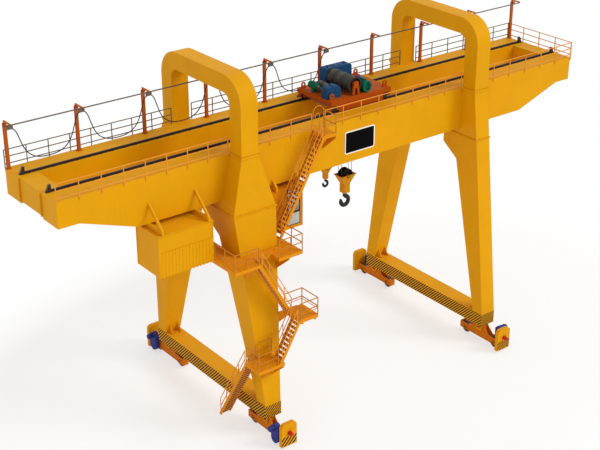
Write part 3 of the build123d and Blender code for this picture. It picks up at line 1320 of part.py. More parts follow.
def write_structure():
    """Write the girders, legs, arches and sills."""
    write("front_girder", girder(-1))
    write("back_girder", girder(1))
    write("end_beams", *[end_beam(side) for side in (-1, 1)])
    write("trolley_rails", *[trolley_rail(side) for side in (-1, 1)])
    write("rail_stops", *[rail_stop(end, side) for end in (-1, 1) for side in (-1, 1)])
    for name, side in (("front", -1), ("back", 1)):
        write(f"rigid_{name}_leg", rigid_leg(side))
        write(f"flexible_{name}_leg", flexible_leg(side))
    for name, x in (("rigid", RIGID_X), ("flexible", FLEXIBLE_X)):
        write(f"{name}_arch", arch(x))
        write(f"{name}_sill", sill(x))


def write_bogies():
    """Write the bogies with their wheels, drives and buffers."""
    corners = [(x, side) for x in (RIGID_X, FLEXIBLE_X) for side in (-1, 1)]
    write("bogie_frames", *[bogie_frame(x, side) for x, side in corners])
    write("bogie_saddles", *[bogie_saddle(x, side) for x, side in corners])
    drives = [travel_drive(x, -1 if x == RIGID_X else 1, side) for x, side in corners]
    write("travel_drives", *drives)
    write("travel_buffers", *[travel_buffer(x, side) for x, side in corners])
    for frame, x in (("rigid", RIGID_X), ("flexible", FLEXIBLE_X)):
        for name, side in (("front", -1), ("back", 1)):
            for place, pitch in (("inner", -WHEEL_PITCH / 2), ("outer", WHEEL_PITCH / 2)):
                write(f"{frame}_{name}_{place}_wheel", travel_wheel(x, side * (PIN_Y + pitch)))


def write_access():
    """Write the electric house, the cab, the stairs, platforms and railings."""
    write("electric_house", electric_house())
    write("cab_shell", cab_shell())
    write("cab_glass", *cab_glass())
    house_back, cab_back = HOUSE_FRONT + HOUSE_DEPTH, CAB_FRONT + CAB_DEPTH
    write("hangers",
          hanger(HOUSE_LEFT + HANGER_INSET, HOUSE_FRONT, house_back),
          hanger(HOUSE_RIGHT - HANGER_INSET, HOUSE_FRONT, house_back),
          hanger(CAB_LEFT + HANGER_INSET, CAB_FRONT, cab_back),
          hanger(CAB_RIGHT - HANGER_INSET, CAB_FRONT, cab_back))
    stringers = [plate for flight in FLIGHTS.values() for plate in flight.stringers()]
    write("stair_stringers", *stringers)
    write("stair_treads", *[tread for flight in FLIGHTS.values() for tread in flight.treads()])
    write("stair_handrails", *[flight.handrail(near) for flight in FLIGHTS.values() for near in (True, False)])
    write("lower_platform", lower_platform())
    write("stair_landing", stair_landing())
    write("upper_platform", upper_platform())
    write("top_landing", top_landing())
    write("platform_railings", *platform_railings())
    gate = (TOP_LANDING_LEFT, TOP_LANDING_LEFT + TOP_LANDING)
    write("front_railing", *girder_railing(-1, arch_gaps() + [gate]))
    write("back_railing", *girder_railing(1, arch_gaps()))
    write("end_railing", *end_railing())


def write_festoon():
    """Write the festoon line and the load plate."""
    write("festoon_posts", *[festoon_post(index) for index in range(FESTOON_POSTS)])
    write("festoon_track", festoon_track())
    write("festoon_cable", festoon_cable())
    write("load_plate", load_plate())


def write_trolley():
    """Write the trolley, its hoists and the two hooks."""
    write("trolley_frame", trolley_frame())
    write("hoist_gearboxes", main_gearbox(), aux_gearbox())
    write("hoist_motors", main_motor(), aux_motor())
    write("main_drum", main_drum())
    write("aux_drum", aux_drum())
    for name, x in zip(("left", "right"), AXLE_PLACES):
        write(f"{name}_axle_set", axle_set(x))
    hooks = (("main", MAIN_BLOCK, MAIN_ROPE_X, DRUM_Z), ("aux", AUX_BLOCK, AUX_ROPE_X, AUX_Z))
    for name, hook, line, z in hooks:
        write(f"{name}_hook_block", hook.block())
        write(f"{name}_hook", hook.hook())
        write(f"{name}_ropes", *hook.falls(line, z))


os.makedirs("parts", exist_ok=True)
write_structure()
write_bogies()
write_access()
write_festoon()
write_trolley()
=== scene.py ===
"""Looks of the gantry crane: paint, steel and rubber on its solids, and the small work that sits on them."""

from __future__ import annotations

import json
import logging
import math
from collections.abc import Mapping, Sequence
from dataclasses import dataclass
from enum import Enum
from itertools import product

import bmesh
import bpy
from mathutils import Matrix, Vector


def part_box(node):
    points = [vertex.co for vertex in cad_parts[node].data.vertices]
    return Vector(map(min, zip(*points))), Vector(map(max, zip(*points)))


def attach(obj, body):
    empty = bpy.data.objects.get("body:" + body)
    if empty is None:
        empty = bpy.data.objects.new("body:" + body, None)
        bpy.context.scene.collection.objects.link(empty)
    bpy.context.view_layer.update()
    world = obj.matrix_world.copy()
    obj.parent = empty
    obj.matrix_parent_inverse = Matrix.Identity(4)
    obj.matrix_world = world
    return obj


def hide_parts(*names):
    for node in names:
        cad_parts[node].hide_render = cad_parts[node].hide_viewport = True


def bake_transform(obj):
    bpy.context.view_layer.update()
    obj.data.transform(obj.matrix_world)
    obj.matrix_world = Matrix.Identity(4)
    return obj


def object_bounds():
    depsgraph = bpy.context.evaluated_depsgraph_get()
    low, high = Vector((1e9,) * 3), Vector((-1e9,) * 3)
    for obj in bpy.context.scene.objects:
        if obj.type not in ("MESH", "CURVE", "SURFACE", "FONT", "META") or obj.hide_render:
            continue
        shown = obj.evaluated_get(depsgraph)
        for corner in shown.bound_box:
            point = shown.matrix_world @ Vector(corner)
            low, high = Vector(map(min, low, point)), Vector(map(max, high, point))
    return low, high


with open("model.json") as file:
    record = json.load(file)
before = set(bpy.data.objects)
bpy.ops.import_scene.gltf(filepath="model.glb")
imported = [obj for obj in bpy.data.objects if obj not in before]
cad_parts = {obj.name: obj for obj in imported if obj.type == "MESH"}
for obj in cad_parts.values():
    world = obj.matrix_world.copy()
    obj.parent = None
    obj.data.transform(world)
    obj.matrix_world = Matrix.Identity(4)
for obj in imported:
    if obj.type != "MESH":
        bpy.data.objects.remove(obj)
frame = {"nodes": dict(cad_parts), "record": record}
CAD_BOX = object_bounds()
LOG = logging.getLogger("gantry")

Colour = tuple[float, float, float]
Point = tuple[float, float, float]
Span = tuple[float, float]
SIDES = (-1, 1)


class Slot(Enum):
    """The record's material slots."""

    GIRDER = "girder_yellow"
    SADDLE = "bogie_orange"
    CAB = "cab_orange"
    RAIL = "rail_steel"
    POST = "post_orange"
    STAIR = "stair_orange"
    HANDRAIL = "handrail_orange"
    OLIVE = "back_rail_olive"
    TRACK = "track_grey"
    CABLE = "cable_black"
    PLATE = "plate_black"
    GLASS = "glass"
    DRIVE = "drive_violet"
    BUFFER = "buffer_red"
    WHEEL = "wheel_dark"
    TROLLEY = "trolley_orange"
    GEARBOX = "gearbox_blue"
    MOTOR = "motor_green"
    DRUM = "drum_grey"
    BLOCK = "block_yellow"
    HOOK = "hook_black"
    ROPE = "rope_steel"


class Along(Enum):
    """The crane's own axes."""

    X = (1.0, 0.0, 0.0)
    Y = (0.0, 1.0, 0.0)
    Z = (0.0, 0.0, 1.0)


def shade(code: str) -> Colour:
    """Turn a screen colour into linear light.

    Args:
        code: a colour as #RRGGBB.

    Returns:
        The red, green and blue parts in linear light.
    """
    parts = (int(code[place:place + 2], 16) / 255 for place in (1, 3, 5))
    red, green, blue = (c / 12.92 if c <= 0.04045 else ((c + 0.055) / 1.055) ** 2.4 for c in parts)
    return red, green, blue


def scaled(colour: Colour, by: float) -> Colour:
    """A colour made lighter or darker."""
    red, green, blue = (min(1.0, part * by) for part in colour)
    return red, green, blue


class Channel:
    """One output in a node tree. Arithmetic on it adds Math nodes."""

    def __init__(self, graph: Graph, socket: bpy.types.NodeSocket) -> None:
        """Keep the tree and the output that this value comes from."""
        self.graph, self.socket = graph, socket

    def math(self, operation: str, *values: Amount) -> Channel:
        """Add one Math node.

        Args:
            operation: the node's operation.
            values: its inputs in order.

        Returns:
            The node's result.
        """
        return self.graph.node("ShaderNodeMath", {"operation": operation}, dict(enumerate(values)))

    def output(self, name: str) -> Channel:
        """Another output of the same node."""
        return Channel(self.graph, self.socket.node.outputs[name])

    def __add__(self, other: Amount) -> Channel:
        """This value plus another."""
        return self.math("ADD", self, other)

    def __radd__(self, other: float) -> Channel:
        """A number plus this value."""
        return self.math("ADD", other, self)

    def __sub__(self, other: Amount) -> Channel:
        """This value less another."""
        return self.math("SUBTRACT", self, other)

    def __rsub__(self, other: float) -> Channel:
        """A number less this value."""
        return self.math("SUBTRACT", other, self)

    def __mul__(self, other: Amount) -> Channel:
        """This value times another."""
        return self.math("MULTIPLY", self, other)

    def __rmul__(self, other: float) -> Channel:
        """A number times this value."""
        return self.math("MULTIPLY", other, self)

    def __truediv__(self, other: Amount) -> Channel:
        """This value over another."""
        return self.math("DIVIDE", self, other)

    def __pow__(self, other: Amount) -> Channel:
        """This value to a power."""
        return self.math("POWER", self, other)

    def __abs__(self) -> Channel:
        """This value without its sign."""
        return self.math("ABSOLUTE", self)

    def __gt__(self, other: Amount) -> Channel:
        """1 where this value is the larger, else 0."""
        return self.math("GREATER_THAN", self, other)

    def __lt__(self, other: Amount) -> Channel:
        """1 where this value is the smaller, else 0."""
        return self.math("LESS_THAN", self, other)

    def fraction(self) -> Channel:
        """The part after the decimal point."""
        return self.math("FRACT", self)

    def top(self, other: Amount) -> Channel:
        """The larger of two values."""
        return self.math("MAXIMUM", self, other)

    def bottom(self, other: Amount) -> Channel:
        """The smaller of two values."""
        return self.math("MINIMUM", self, other)

    def rise(self, low: float, high: float) -> Channel:
        """Ease this value from 0 to 1.

        Args:
            low: where the result is still 0.
            high: where the result has come to 1.

        Returns:
            A value from 0 to 1.
        """
        settings = {"interpolation_type": "SMOOTHSTEP"}
        return self.graph.node("ShaderNodeMapRange", settings,
                               {"Value": self, "From Min": low, "From Max": high})


Amount = Channel | float


class Graph:
    """A node tree under construction."""

    def __init__(self, tree: bpy.types.NodeTree) -> None:
        """Start from an empty tree."""
        self.tree = tree
        tree.nodes.clear()

    def node(self, kind: str, settings: Mapping[str, object] | None = None,
             inputs: Mapping[str | int, object] | None = None, output: str | int = 0) -> Channel:
        """Add a node.

        Args:
            kind: the node's type.
            settings: its properties, set before its sockets.
            inputs: numbers, colours or channels for its sockets.
            output: the output that is handed back.

        Returns:
            The chosen output.
        """
        made = self.tree.nodes.new(kind)
        for key, value in (settings or {}).items():
            setattr(made, key, value)
        for key, value in (inputs or {}).items():
            if isinstance(value, Channel):
                self.tree.links.new(value.socket, made.inputs[key])
            else:
                made.inputs[key].default_value = value
        return Channel(self, made.outputs[output]) if made.outputs else Channel(self, made.inputs[0])

    def place(self) -> Channel:
        """The point on the surface, in the crane's own frame."""
        return self.node("ShaderNodeTexCoord", output="Object")

    def split(self, vector: Channel) -> tuple[Channel, Channel, Channel]:
        """A vector's three parts."""
        x = self.node("ShaderNodeSeparateXYZ", inputs={0: vector})
        return x, x.output("Y"), x.output("Z")

    def facing(self) -> tuple[Channel, Channel, Channel]:
        """The three parts of the face's own direction."""
        return self.split(self.node("ShaderNodeNewGeometry", output="True Normal"))

    def stretch(self, vector: Channel, scale: Point) -> Channel:
        """A vector scaled apart along its axes."""
        return self.node("ShaderNodeVectorMath", {"operation": "MULTIPLY"}, {0: vector, 1: scale})

    def noise(self, vector: Channel, scale: float, detail: float = 3.0, roughness: float = 0.55) -> Channel:
        """Cloudy noise from 0 to 1.

        Args:
            vector: where it is read.
            scale: how many features it has to the metre.
            detail: how many finer layers it has.
            roughness: how strong those layers are.

        Returns:
            The noise.
        """
        return self.node("ShaderNodeTexNoise", inputs={
            "Vector": vector, "Scale": scale, "Detail": detail, "Roughness": roughness})

    def mix(self, factor: Amount, low: Channel | Colour, high: Channel | Colour) -> Channel:
        """Mix two colours.

        Args:
            factor: 0 gives the first, 1 the second.
            low: the first colour.
            high: the second colour.

        Returns:
            The mixed colour.
        """
        ends = [end if isinstance(end, Channel) else (*end, 1) for end in (low, high)]
        settings = {"data_type": "RGBA", "clamp_factor": True}
        return self.node("ShaderNodeMix", settings, {0: factor, 6: ends[0], 7: ends[1]}, output=2)

    def bump(self, height: Channel, depth: float, strength: float = 1.0) -> Channel:
        """Dent the surface by a height from 0 to 1 over a depth in metres."""
        return self.node("ShaderNodeBump", inputs={"Height": height, "Distance": depth, "Strength": strength})


@dataclass(frozen=True)
class Finish:
    """What a surface is made of."""

    name: str
    colour: Colour
    roughness: float = 0.5

    def build(self) -> bpy.types.Material:
        """Make the material.

        Returns:
            The material, with its nodes in place.
        """
        material = bpy.data.materials.new(self.name)
        material.use_nodes = True
        graph = Graph(material.node_tree)
        shader = graph.node("ShaderNodeBsdfPrincipled", inputs=self.sockets(graph))
        graph.node("ShaderNodeOutputMaterial", inputs={"Surface": shader})
        material.diffuse_color = (*self.colour, 1)
        return material

    def sockets(self, graph: Graph) -> dict[str | int, object]:
        """The shader's inputs, by socket name."""
        return {"Base Color": (*self.colour, 1), "Roughness": self.roughness}


@dataclass(frozen=True)
class Paint(Finish):
    """Sprayed enamel on plate: a drifting tone, run marks, dust on what faces up and an orange-peel skin."""

    drift: float = 0.035
    streaks: float = 0.10
    dust: float = 0.10
    peel: float = 0.0010
    sheen: float = 0.06
    cloud_scale: float = 0.35
    peel_scale: float = 26.0
    run_scale: Point = (5.0, 5.0, 0.22)
    stain: float = 0.45
    dust_colour: Colour = shade("#A8906A")

    def tone(self, graph: Graph) -> Channel:
        """The paint's own colour over the surface, before dust and dirt.

        Args:
            graph: the material's nodes.

        Returns:
            The colour.
        """
        cloud = graph.noise(graph.place(), self.cloud_scale)
        dark, light = (scaled(self.colour, 1 + way * self.drift) for way in SIDES)
        return graph.mix(cloud.rise(0.3, 0.7), dark, light)

    def relief(self, graph: Graph) -> Channel:
        """The normal: the skin of the paint."""
        return graph.bump(graph.noise(graph.place(), self.peel_scale, 2.0), self.peel, 0.35)

    def sockets(self, graph: Graph) -> dict[str | int, object]:
        """The shader's inputs.

        Args:
            graph: the material's nodes.

        Returns:
            Values and channels by socket name.
        """
        place = graph.place()
        up = graph.facing()[2]
        runs = graph.noise(graph.stretch(place, self.run_scale), 1.0, 5.0, 0.6)
        stained = runs.rise(0.52, 0.82) * (1 - abs(up)) * self.streaks
        colour = graph.mix(stained, self.tone(graph), scaled(self.colour, self.stain))
        speck = graph.noise(place, 3.0, 6.0, 0.65)
        settled = up.rise(0.6, 0.95) * speck.rise(0.35, 0.75) * self.dust
        return {
            "Base Color": graph.mix(settled, colour, self.dust_colour),
            "Roughness": self.roughness + (speck - 0.5) * 0.18 + stained * 0.3,
            "Normal": self.relief(graph),
            "Specular IOR Level": self.sheen,
        }


@dataclass(frozen=True)
class Plating(Paint):
    """Enamel on welded plate, with the weld lines of the stiffeners behind it."""

    bay: float = 2.15
    weld: float = 0.012

    def relief(self, graph: Graph) -> Channel:
        """Raise upright weld lines over the skin of the paint.

        Args:
            graph: the material's nodes.

        Returns:
            The normal.
        """
        place = graph.place()
        x, _, _ = graph.split(place)
        line = abs((x / self.bay).fraction() - 0.5) * self.bay
        seam = 1 - line.rise(self.weld * 0.4, self.weld)
        skin = graph.noise(place, self.peel_scale, 2.0)
        return graph.bump(seam * 2.0 + skin * 0.3, 0.003, 0.7)


@dataclass(frozen=True)
class Hazard(Paint):
    """Enamel with slanting black bands on the sides and the ends of a beam."""

    black: Colour = (0.012, 0.011, 0.010)
    side_pitch: float = 0.215
    end_pitch: float = 0.215
    ends_from: float = 0.0
    low: float = -1.0
    high: float = 99.0
    sides: bool = True
    inner: Colour = (0.0, 0.0, 0.0)
    inner_to: float = 0.0

    def tone(self, graph: Graph) -> Channel:
        """Lay bands on the faces that look sideways, and the plain paint elsewhere.

        Args:
            graph: the material's nodes.

        Returns:
            The colour.
        """
        x, y, z = graph.split(graph.place())
        out_x, out_y, _ = graph.facing()
        on_side = (abs(out_x) > 0.9) * (1.0 if self.sides else 0.0)
        on_end = (abs(out_y) > 0.9) * (abs(y) > self.ends_from)
        side = ((y - out_x * z) / self.side_pitch).fraction() < 0.5
        end = ((x + out_y * z) / self.end_pitch).fraction() < 0.5
        band = (on_side * side + on_end * end) * (z > self.low) * (z < self.high)
        worn = graph.noise(graph.place(), 9.0, 5.0, 0.7).rise(0.25, 0.42)
        plain = graph.mix(abs(y) < self.inner_to, super().tone(graph), self.inner)
        return graph.mix(band * (0.86 + worn * 0.14), plain, self.black)


@dataclass(frozen=True)
class Bordered(Paint):
    """Enamel with a pale line round the edge of its plate."""

    middle: Span = (0.86, 16.0)
    half: Span = (1.18, 0.73)
    corner: float = 0.16
    line: Span = (0.0, 0.075)
    pale: Colour = shade("#F4F1E6")

    def tone(self, graph: Graph) -> Channel:
        """Lay the pale line, and the paint elsewhere.

        Args:
            graph: the material's nodes.

        Returns:
            The colour.
        """
        x, _, z = graph.split(graph.place())
        over_x = abs(x - self.middle[0]) - (self.half[0] - self.corner)
        over_z = abs(z - self.middle[1]) - (self.half[1] - self.corner)
        corner = (over_x.top(0.0) ** 2.0 + over_z.top(0.0) ** 2.0) ** 0.5
        inside = over_x.top(over_z).bottom(0.0)
        depth = self.corner - corner - inside
        ring = (depth > self.line[0]) * (depth < self.line[1])
        return graph.mix(ring, super().tone(graph), self.pale)


@dataclass(frozen=True)
class Sheaved(Paint):
    """A hook block's paint, with bare oiled steel on the sheaves inside it."""

    axle: Span = (0.0, 0.0)
    reach: float = 0.452
    half: float = 0.225
    steel: Colour = (0.011, 0.009, 0.008)

    def tone(self, graph: Graph) -> Channel:
        """Lay dark steel on the sheaves and paint on the housing.

        Args:
            graph: the material's nodes.

        Returns:
            The colour.
        """
        x, y, z = graph.split(graph.place())
        out = ((x - self.axle[0]) ** 2.0 + (z - self.axle[1]) ** 2.0) ** 0.5
        inside = (out < self.reach) * (abs(y) < self.half)
        return graph.mix(inside, super().tone(graph), self.steel)


@dataclass(frozen=True)
class Tread(Paint):
    """Stair and floor paint: a raised grip pattern and foot wear on top, and a pale tone painted on the
    upright edges as a highlight.
    """

    # the pale colour painted on the upright edges as a highlight
    edge: Colour = (0.80, 0.55, 0.25)
    grip: float = 0.055
    scuff: float = 0.55

    def tone(self, graph: Graph) -> Channel:
        """Lay worn paint on top and a pale tone on the upright edges, painted there as a highlight.

        Args:
            graph: the material's nodes.

        Returns:
            The colour.
        """
        up = graph.facing()[2]
        scuffed = graph.noise(graph.place(), 4.0, 6.0, 0.7).rise(0.48, 0.72)
        top = graph.mix(scuffed * self.scuff, super().tone(graph), scaled(self.colour, 0.42))
        # painted highlight: the upright faces take the pale edge colour
        upright = (abs(up) < 0.3) * 0.8
        return graph.mix(upright, top, self.edge)

    def relief(self, graph: Graph) -> Channel:
        """Raise crossed bars on what faces up.

        Args:
            graph: the material's nodes.

        Returns:
            The normal.
        """
        x, y, _ = graph.split(graph.place())
        up = graph.facing()[2]
        one = abs(((x + y) / self.grip).fraction() - 0.5).rise(0.05, 0.25)
        two = abs(((x - y) / self.grip).fraction() - 0.5).rise(0.05, 0.25)
        return graph.bump(one.bottom(two) * up.rise(0.6, 0.95), 0.004, 0.8)


@dataclass(frozen=True)
class Steel(Finish):
    """Bare or blackened steel: a dark skin, and bright metal where something rolls or rubs."""

    bright: Colour = (0.30, 0.28, 0.26)
    axis: Along = Along.Z
    polish: float = 0.0
    grain: float = 14.0

    def rubbed(self, graph: Graph) -> Channel:
        """Wear the skin away on what faces away from the axis.

        Args:
            graph: the material's nodes.

        Returns:
            0 where the skin is whole, up to the polish where it is worn.
        """
        parts = graph.facing()
        flank = abs(parts[self.axis.value.index(1.0)])
        worn = graph.noise(graph.place(), 6.0, 5.0, 0.65).rise(0.3, 0.6)
        return (1 - flank.rise(0.15, 0.35)) * (0.55 + worn * 0.45) * self.polish

    def sockets(self, graph: Graph) -> dict[str | int, object]:
        """The shader's inputs.

        Args:
            graph: the material's nodes.

        Returns:
            Values and channels by socket name.
        """
        place = graph.place()
        grain = graph.noise(place, self.grain, 4.0, 0.6)
        skin = graph.mix(grain, scaled(self.colour, 0.75), scaled(self.colour, 1.25))
        rubbed = self.rubbed(graph)
        return {
            "Base Color": graph.mix(rubbed, skin, self.bright),
            "Metallic": rubbed * 0.8,
            "Roughness": self.roughness + (grain - 0.5) * 0.2 - rubbed * 0.2,
            "Normal": graph.bump(grain, 0.002, 0.4),
            "Specular IOR Level": 0.3,
        }


@dataclass(frozen=True)
class RailSteel(Steel):
    """A rolled rail: rusty brown, with a bright running line along its head."""

    line: float = 1.495
    half: float = 0.026
    level: float = 17.615

    def rubbed(self, graph: Graph) -> Channel:
        """Bright along the middle of the head."""
        _, y, z = graph.split(graph.place())
        return (1 - abs(abs(y) - self.line).rise(self.half * 0.6, self.half)) * (z > self.level) * self.polish


@dataclass(frozen=True)
class DrumSteel(Steel):
    """A turned drum: rope grooves round it, and red primer inside its open end."""

    axle: Span = (1.64, 18.9)
    inner: float = 0.432
    front: float = -1.12
    pitch: float = 0.036
    primer: Colour = (0.075, 0.012, 0.008)

    def sockets(self, graph: Graph) -> dict[str | int, object]:
        """The shader's inputs.

        Args:
            graph: the material's nodes.

        Returns:
            Values and channels by socket name.
        """
        x, y, z = graph.split(graph.place())
        out = ((x - self.axle[0]) ** 2.0 + (z - self.axle[1]) ** 2.0) ** 0.5
        pocket = (out < self.inner) * (y < self.front)
        grain = graph.noise(graph.stretch(graph.place(), (3.0, 20.0, 3.0)), 2.0, 5.0, 0.6)
        skin = graph.mix(grain, scaled(self.colour, 0.8), scaled(self.colour, 1.2))
        groove = abs((y / self.pitch).fraction() - 0.5)
        return {
            "Base Color": graph.mix(pocket, skin, self.primer),
            "Roughness": self.roughness + (grain - 0.5) * 0.25,
            "Normal": graph.bump(groove.rise(0.1, 0.5) * (1 - pocket), 0.008, 0.8),
            "Specular IOR Level": 0.35,
        }


@dataclass(frozen=True)
class RopeSteel(Steel):
    """Greased wire rope: strands that slant round it."""

    lay: float = 0.075
    slant: float = 1.6

    def sockets(self, graph: Graph) -> dict[str | int, object]:
        """The shader's inputs, with the strands as bumps and dark lines.

        Args:
            graph: the material's nodes.

        Returns:
            Values and channels by socket name.
        """
        x, y, z = graph.split(graph.place())
        strand = abs(((z + (x + y) * self.slant) / self.lay).fraction() - 0.5) * 2.0
        dark, light = scaled(self.colour, 0.35), scaled(self.colour, 1.2)
        return {
            "Base Color": graph.mix(strand.rise(0.0, 0.5), dark, light),
            "Metallic": 0.5,
            "Roughness": self.roughness + strand * 0.1,
            "Normal": graph.bump(strand, 0.004, 0.8),
        }


@dataclass(frozen=True)
class Rubber(Finish):
    """Moulded rubber with a dusty bloom."""

    bloom: float = 0.12
    bloom_colour: Colour = shade("#9A938A")

    def sockets(self, graph: Graph) -> dict[str | int, object]:
        """The shader's inputs, with bloom over a fine grain.

        Args:
            graph: the material's nodes.

        Returns:
            Values and channels by socket name.
        """
        place = graph.place()
        cloud = graph.noise(place, 5.0, 5.0, 0.65)
        grain = graph.noise(place, 60.0, 2.0)
        return {
            "Base Color": graph.mix(cloud.rise(0.45, 0.8) * self.bloom, self.colour, self.bloom_colour),
            "Roughness": self.roughness + (cloud - 0.5) * 0.2,
            "Normal": graph.bump(grain, 0.001, 0.4),
            "Specular IOR Level": 0.3,
        }


@dataclass(frozen=True)
class Pane(Finish):
    """Clear window glass with a faint film of dust towards its lower edge."""

    low: float = 12.8
    high: float = 14.05
    film_colour: Colour = shade("#B9B6A8")

    def sockets(self, graph: Graph) -> dict[str | int, object]:
        """The shader's inputs, with the film in the roughness and the tint.

        Args:
            graph: the material's nodes.

        Returns:
            Values and channels by socket name.
        """
        place = graph.place()
        _, _, z = graph.split(place)
        film = (1 - z.rise(self.low, self.high)) * graph.noise(place, 3.0, 5.0, 0.6).rise(0.3, 0.8)
        return {
            "Base Color": graph.mix(film * 0.5, self.colour, self.film_colour),
            "Roughness": self.roughness + film * 0.15,
            "Transmission Weight": 0.75,
            "IOR": 1.45,
        }


@dataclass(frozen=True)
class Panel(Finish):
    """A pane over a closed wall, pale and glossy with a film of dust."""

    def sockets(self, graph: Graph) -> dict[str | int, object]:
        """The shader's inputs, with the film in the tint and the gloss.

        Args:
            graph: the material's nodes.

        Returns:
            Values and channels by socket name.
        """
        film = graph.noise(graph.place(), 2.5, 5.0, 0.6).rise(0.3, 0.8)
        return {
            "Base Color": graph.mix(film, scaled(self.colour, 0.9), scaled(self.colour, 1.06)),
            "Roughness": self.roughness + film * 0.1,
            "Specular IOR Level": 0.5,
        }


FINISHES: dict[Slot, Finish] = {
    Slot.GIRDER: Plating("girder_enamel", shade("#E09F06")),
    Slot.SADDLE: Paint("saddle_enamel", shade("#D98A0A"), drift=0.06, streaks=0.2),
    Slot.CAB: Paint("cab_enamel", shade("#DA8A08"), drift=0.04),
    Slot.RAIL: RailSteel("rail_steel", shade("#33241C"), 0.55, polish=0.55),
    Slot.POST: Paint("post_enamel", shade("#C0601C"), drift=0.06, streaks=0.2),
    # the walkway's edge colour is a painted highlight on its upright faces, close to its paint
    Slot.STAIR: Tread("walkway_enamel", shade("#E28E0C"), edge=shade("#E2900E")),
    Slot.HANDRAIL: Paint("handrail_enamel", shade("#E39633"), drift=0.05),
    Slot.OLIVE: Paint("back_rail_enamel", shade("#76663A"), drift=0.06),
    Slot.TRACK: Paint("track_enamel", shade("#6E6658"), drift=0.08, streaks=0.2),
    Slot.CABLE: Rubber("cable_jacket", shade("#1B1B1C"), 0.55),
    Slot.PLATE: Bordered("load_plate_enamel", shade("#050505"), 0.5, drift=0.1, dust=0.0, sheen=0.03),
    Slot.GLASS: Pane("cab_glazing", shade("#C9D6D2"), 0.04),
    Slot.DRIVE: Paint("travel_drive_enamel", shade("#3A4290"), drift=0.06, streaks=0.2),
    Slot.BUFFER: Rubber("buffer_rubber", shade("#BE1905"), 0.5),
    Slot.WHEEL: Steel("wheel_steel", shade("#35302B"), 0.5, polish=0.7, axis=Along.X),
    Slot.TROLLEY: Paint("trolley_enamel", shade("#AC4B0A"), drift=0.05, streaks=0.2, dust=0.06),
    Slot.GEARBOX: Paint("gear_case_enamel", shade("#1A4A72"), drift=0.06, streaks=0.2),
    Slot.MOTOR: Paint("motor_enamel", shade("#126A54"), drift=0.06, streaks=0.15),
    Slot.DRUM: DrumSteel("drum_steel", shade("#2D2B28"), 0.6),
    Slot.BLOCK: Paint("block_enamel", shade("#D2900F"), drift=0.05, streaks=0.25),
    Slot.HOOK: Steel("forged_steel", shade("#131313"), 0.45, bright=(0.06, 0.06, 0.06), axis=Along.Y,
                     polish=0.3),
    Slot.ROPE: RopeSteel("wire_rope", shade("#4A4641"), 0.45),
}

SPECIAL: dict[str, Finish] = {
    "rigid_sill": Hazard("sill_enamel", shade("#E09F06")),
    "flexible_sill": Hazard("far_sill_enamel", shade("#E09F06")),
    "bogie_frames": Hazard("bogie_enamel", shade("#DE9A06"), ends_from=7.4, low=0.2, high=0.82, sides=False,
                           end_pitch=0.30, inner=shade("#D2740C"), inner_to=7.2),
    # stair treads: a pale painted highlight on their upright edges
    "stair_treads": Tread("tread_enamel", shade("#B9660C"), edge=shade("#F0C078"), grip=0.04),
    "left_axle_set": Steel("axle_steel", shade("#2E2822"), 0.5, polish=0.7, axis=Along.Y),
    "right_axle_set": Steel("right_axle_steel", shade("#2E2822"), 0.5, polish=0.7, axis=Along.Y),
    "aux_drum": DrumSteel("aux_drum_steel", shade("#545050"), 0.5, axle=(0.42, 18.72), inner=0.0),
    "main_hook_block": Sheaved("main_block_enamel", shade("#D2900F"), axle=(2.17, 12.38), streaks=0.25),
    "aux_hook_block": Sheaved("aux_block_enamel", shade("#D2900F"), axle=(0.565, 13.23), reach=0.27,
                              half=0.06, streaks=0.25),
    "platform_railings": Paint("platform_rail_enamel", shade("#C4802C"), drift=0.05),
}


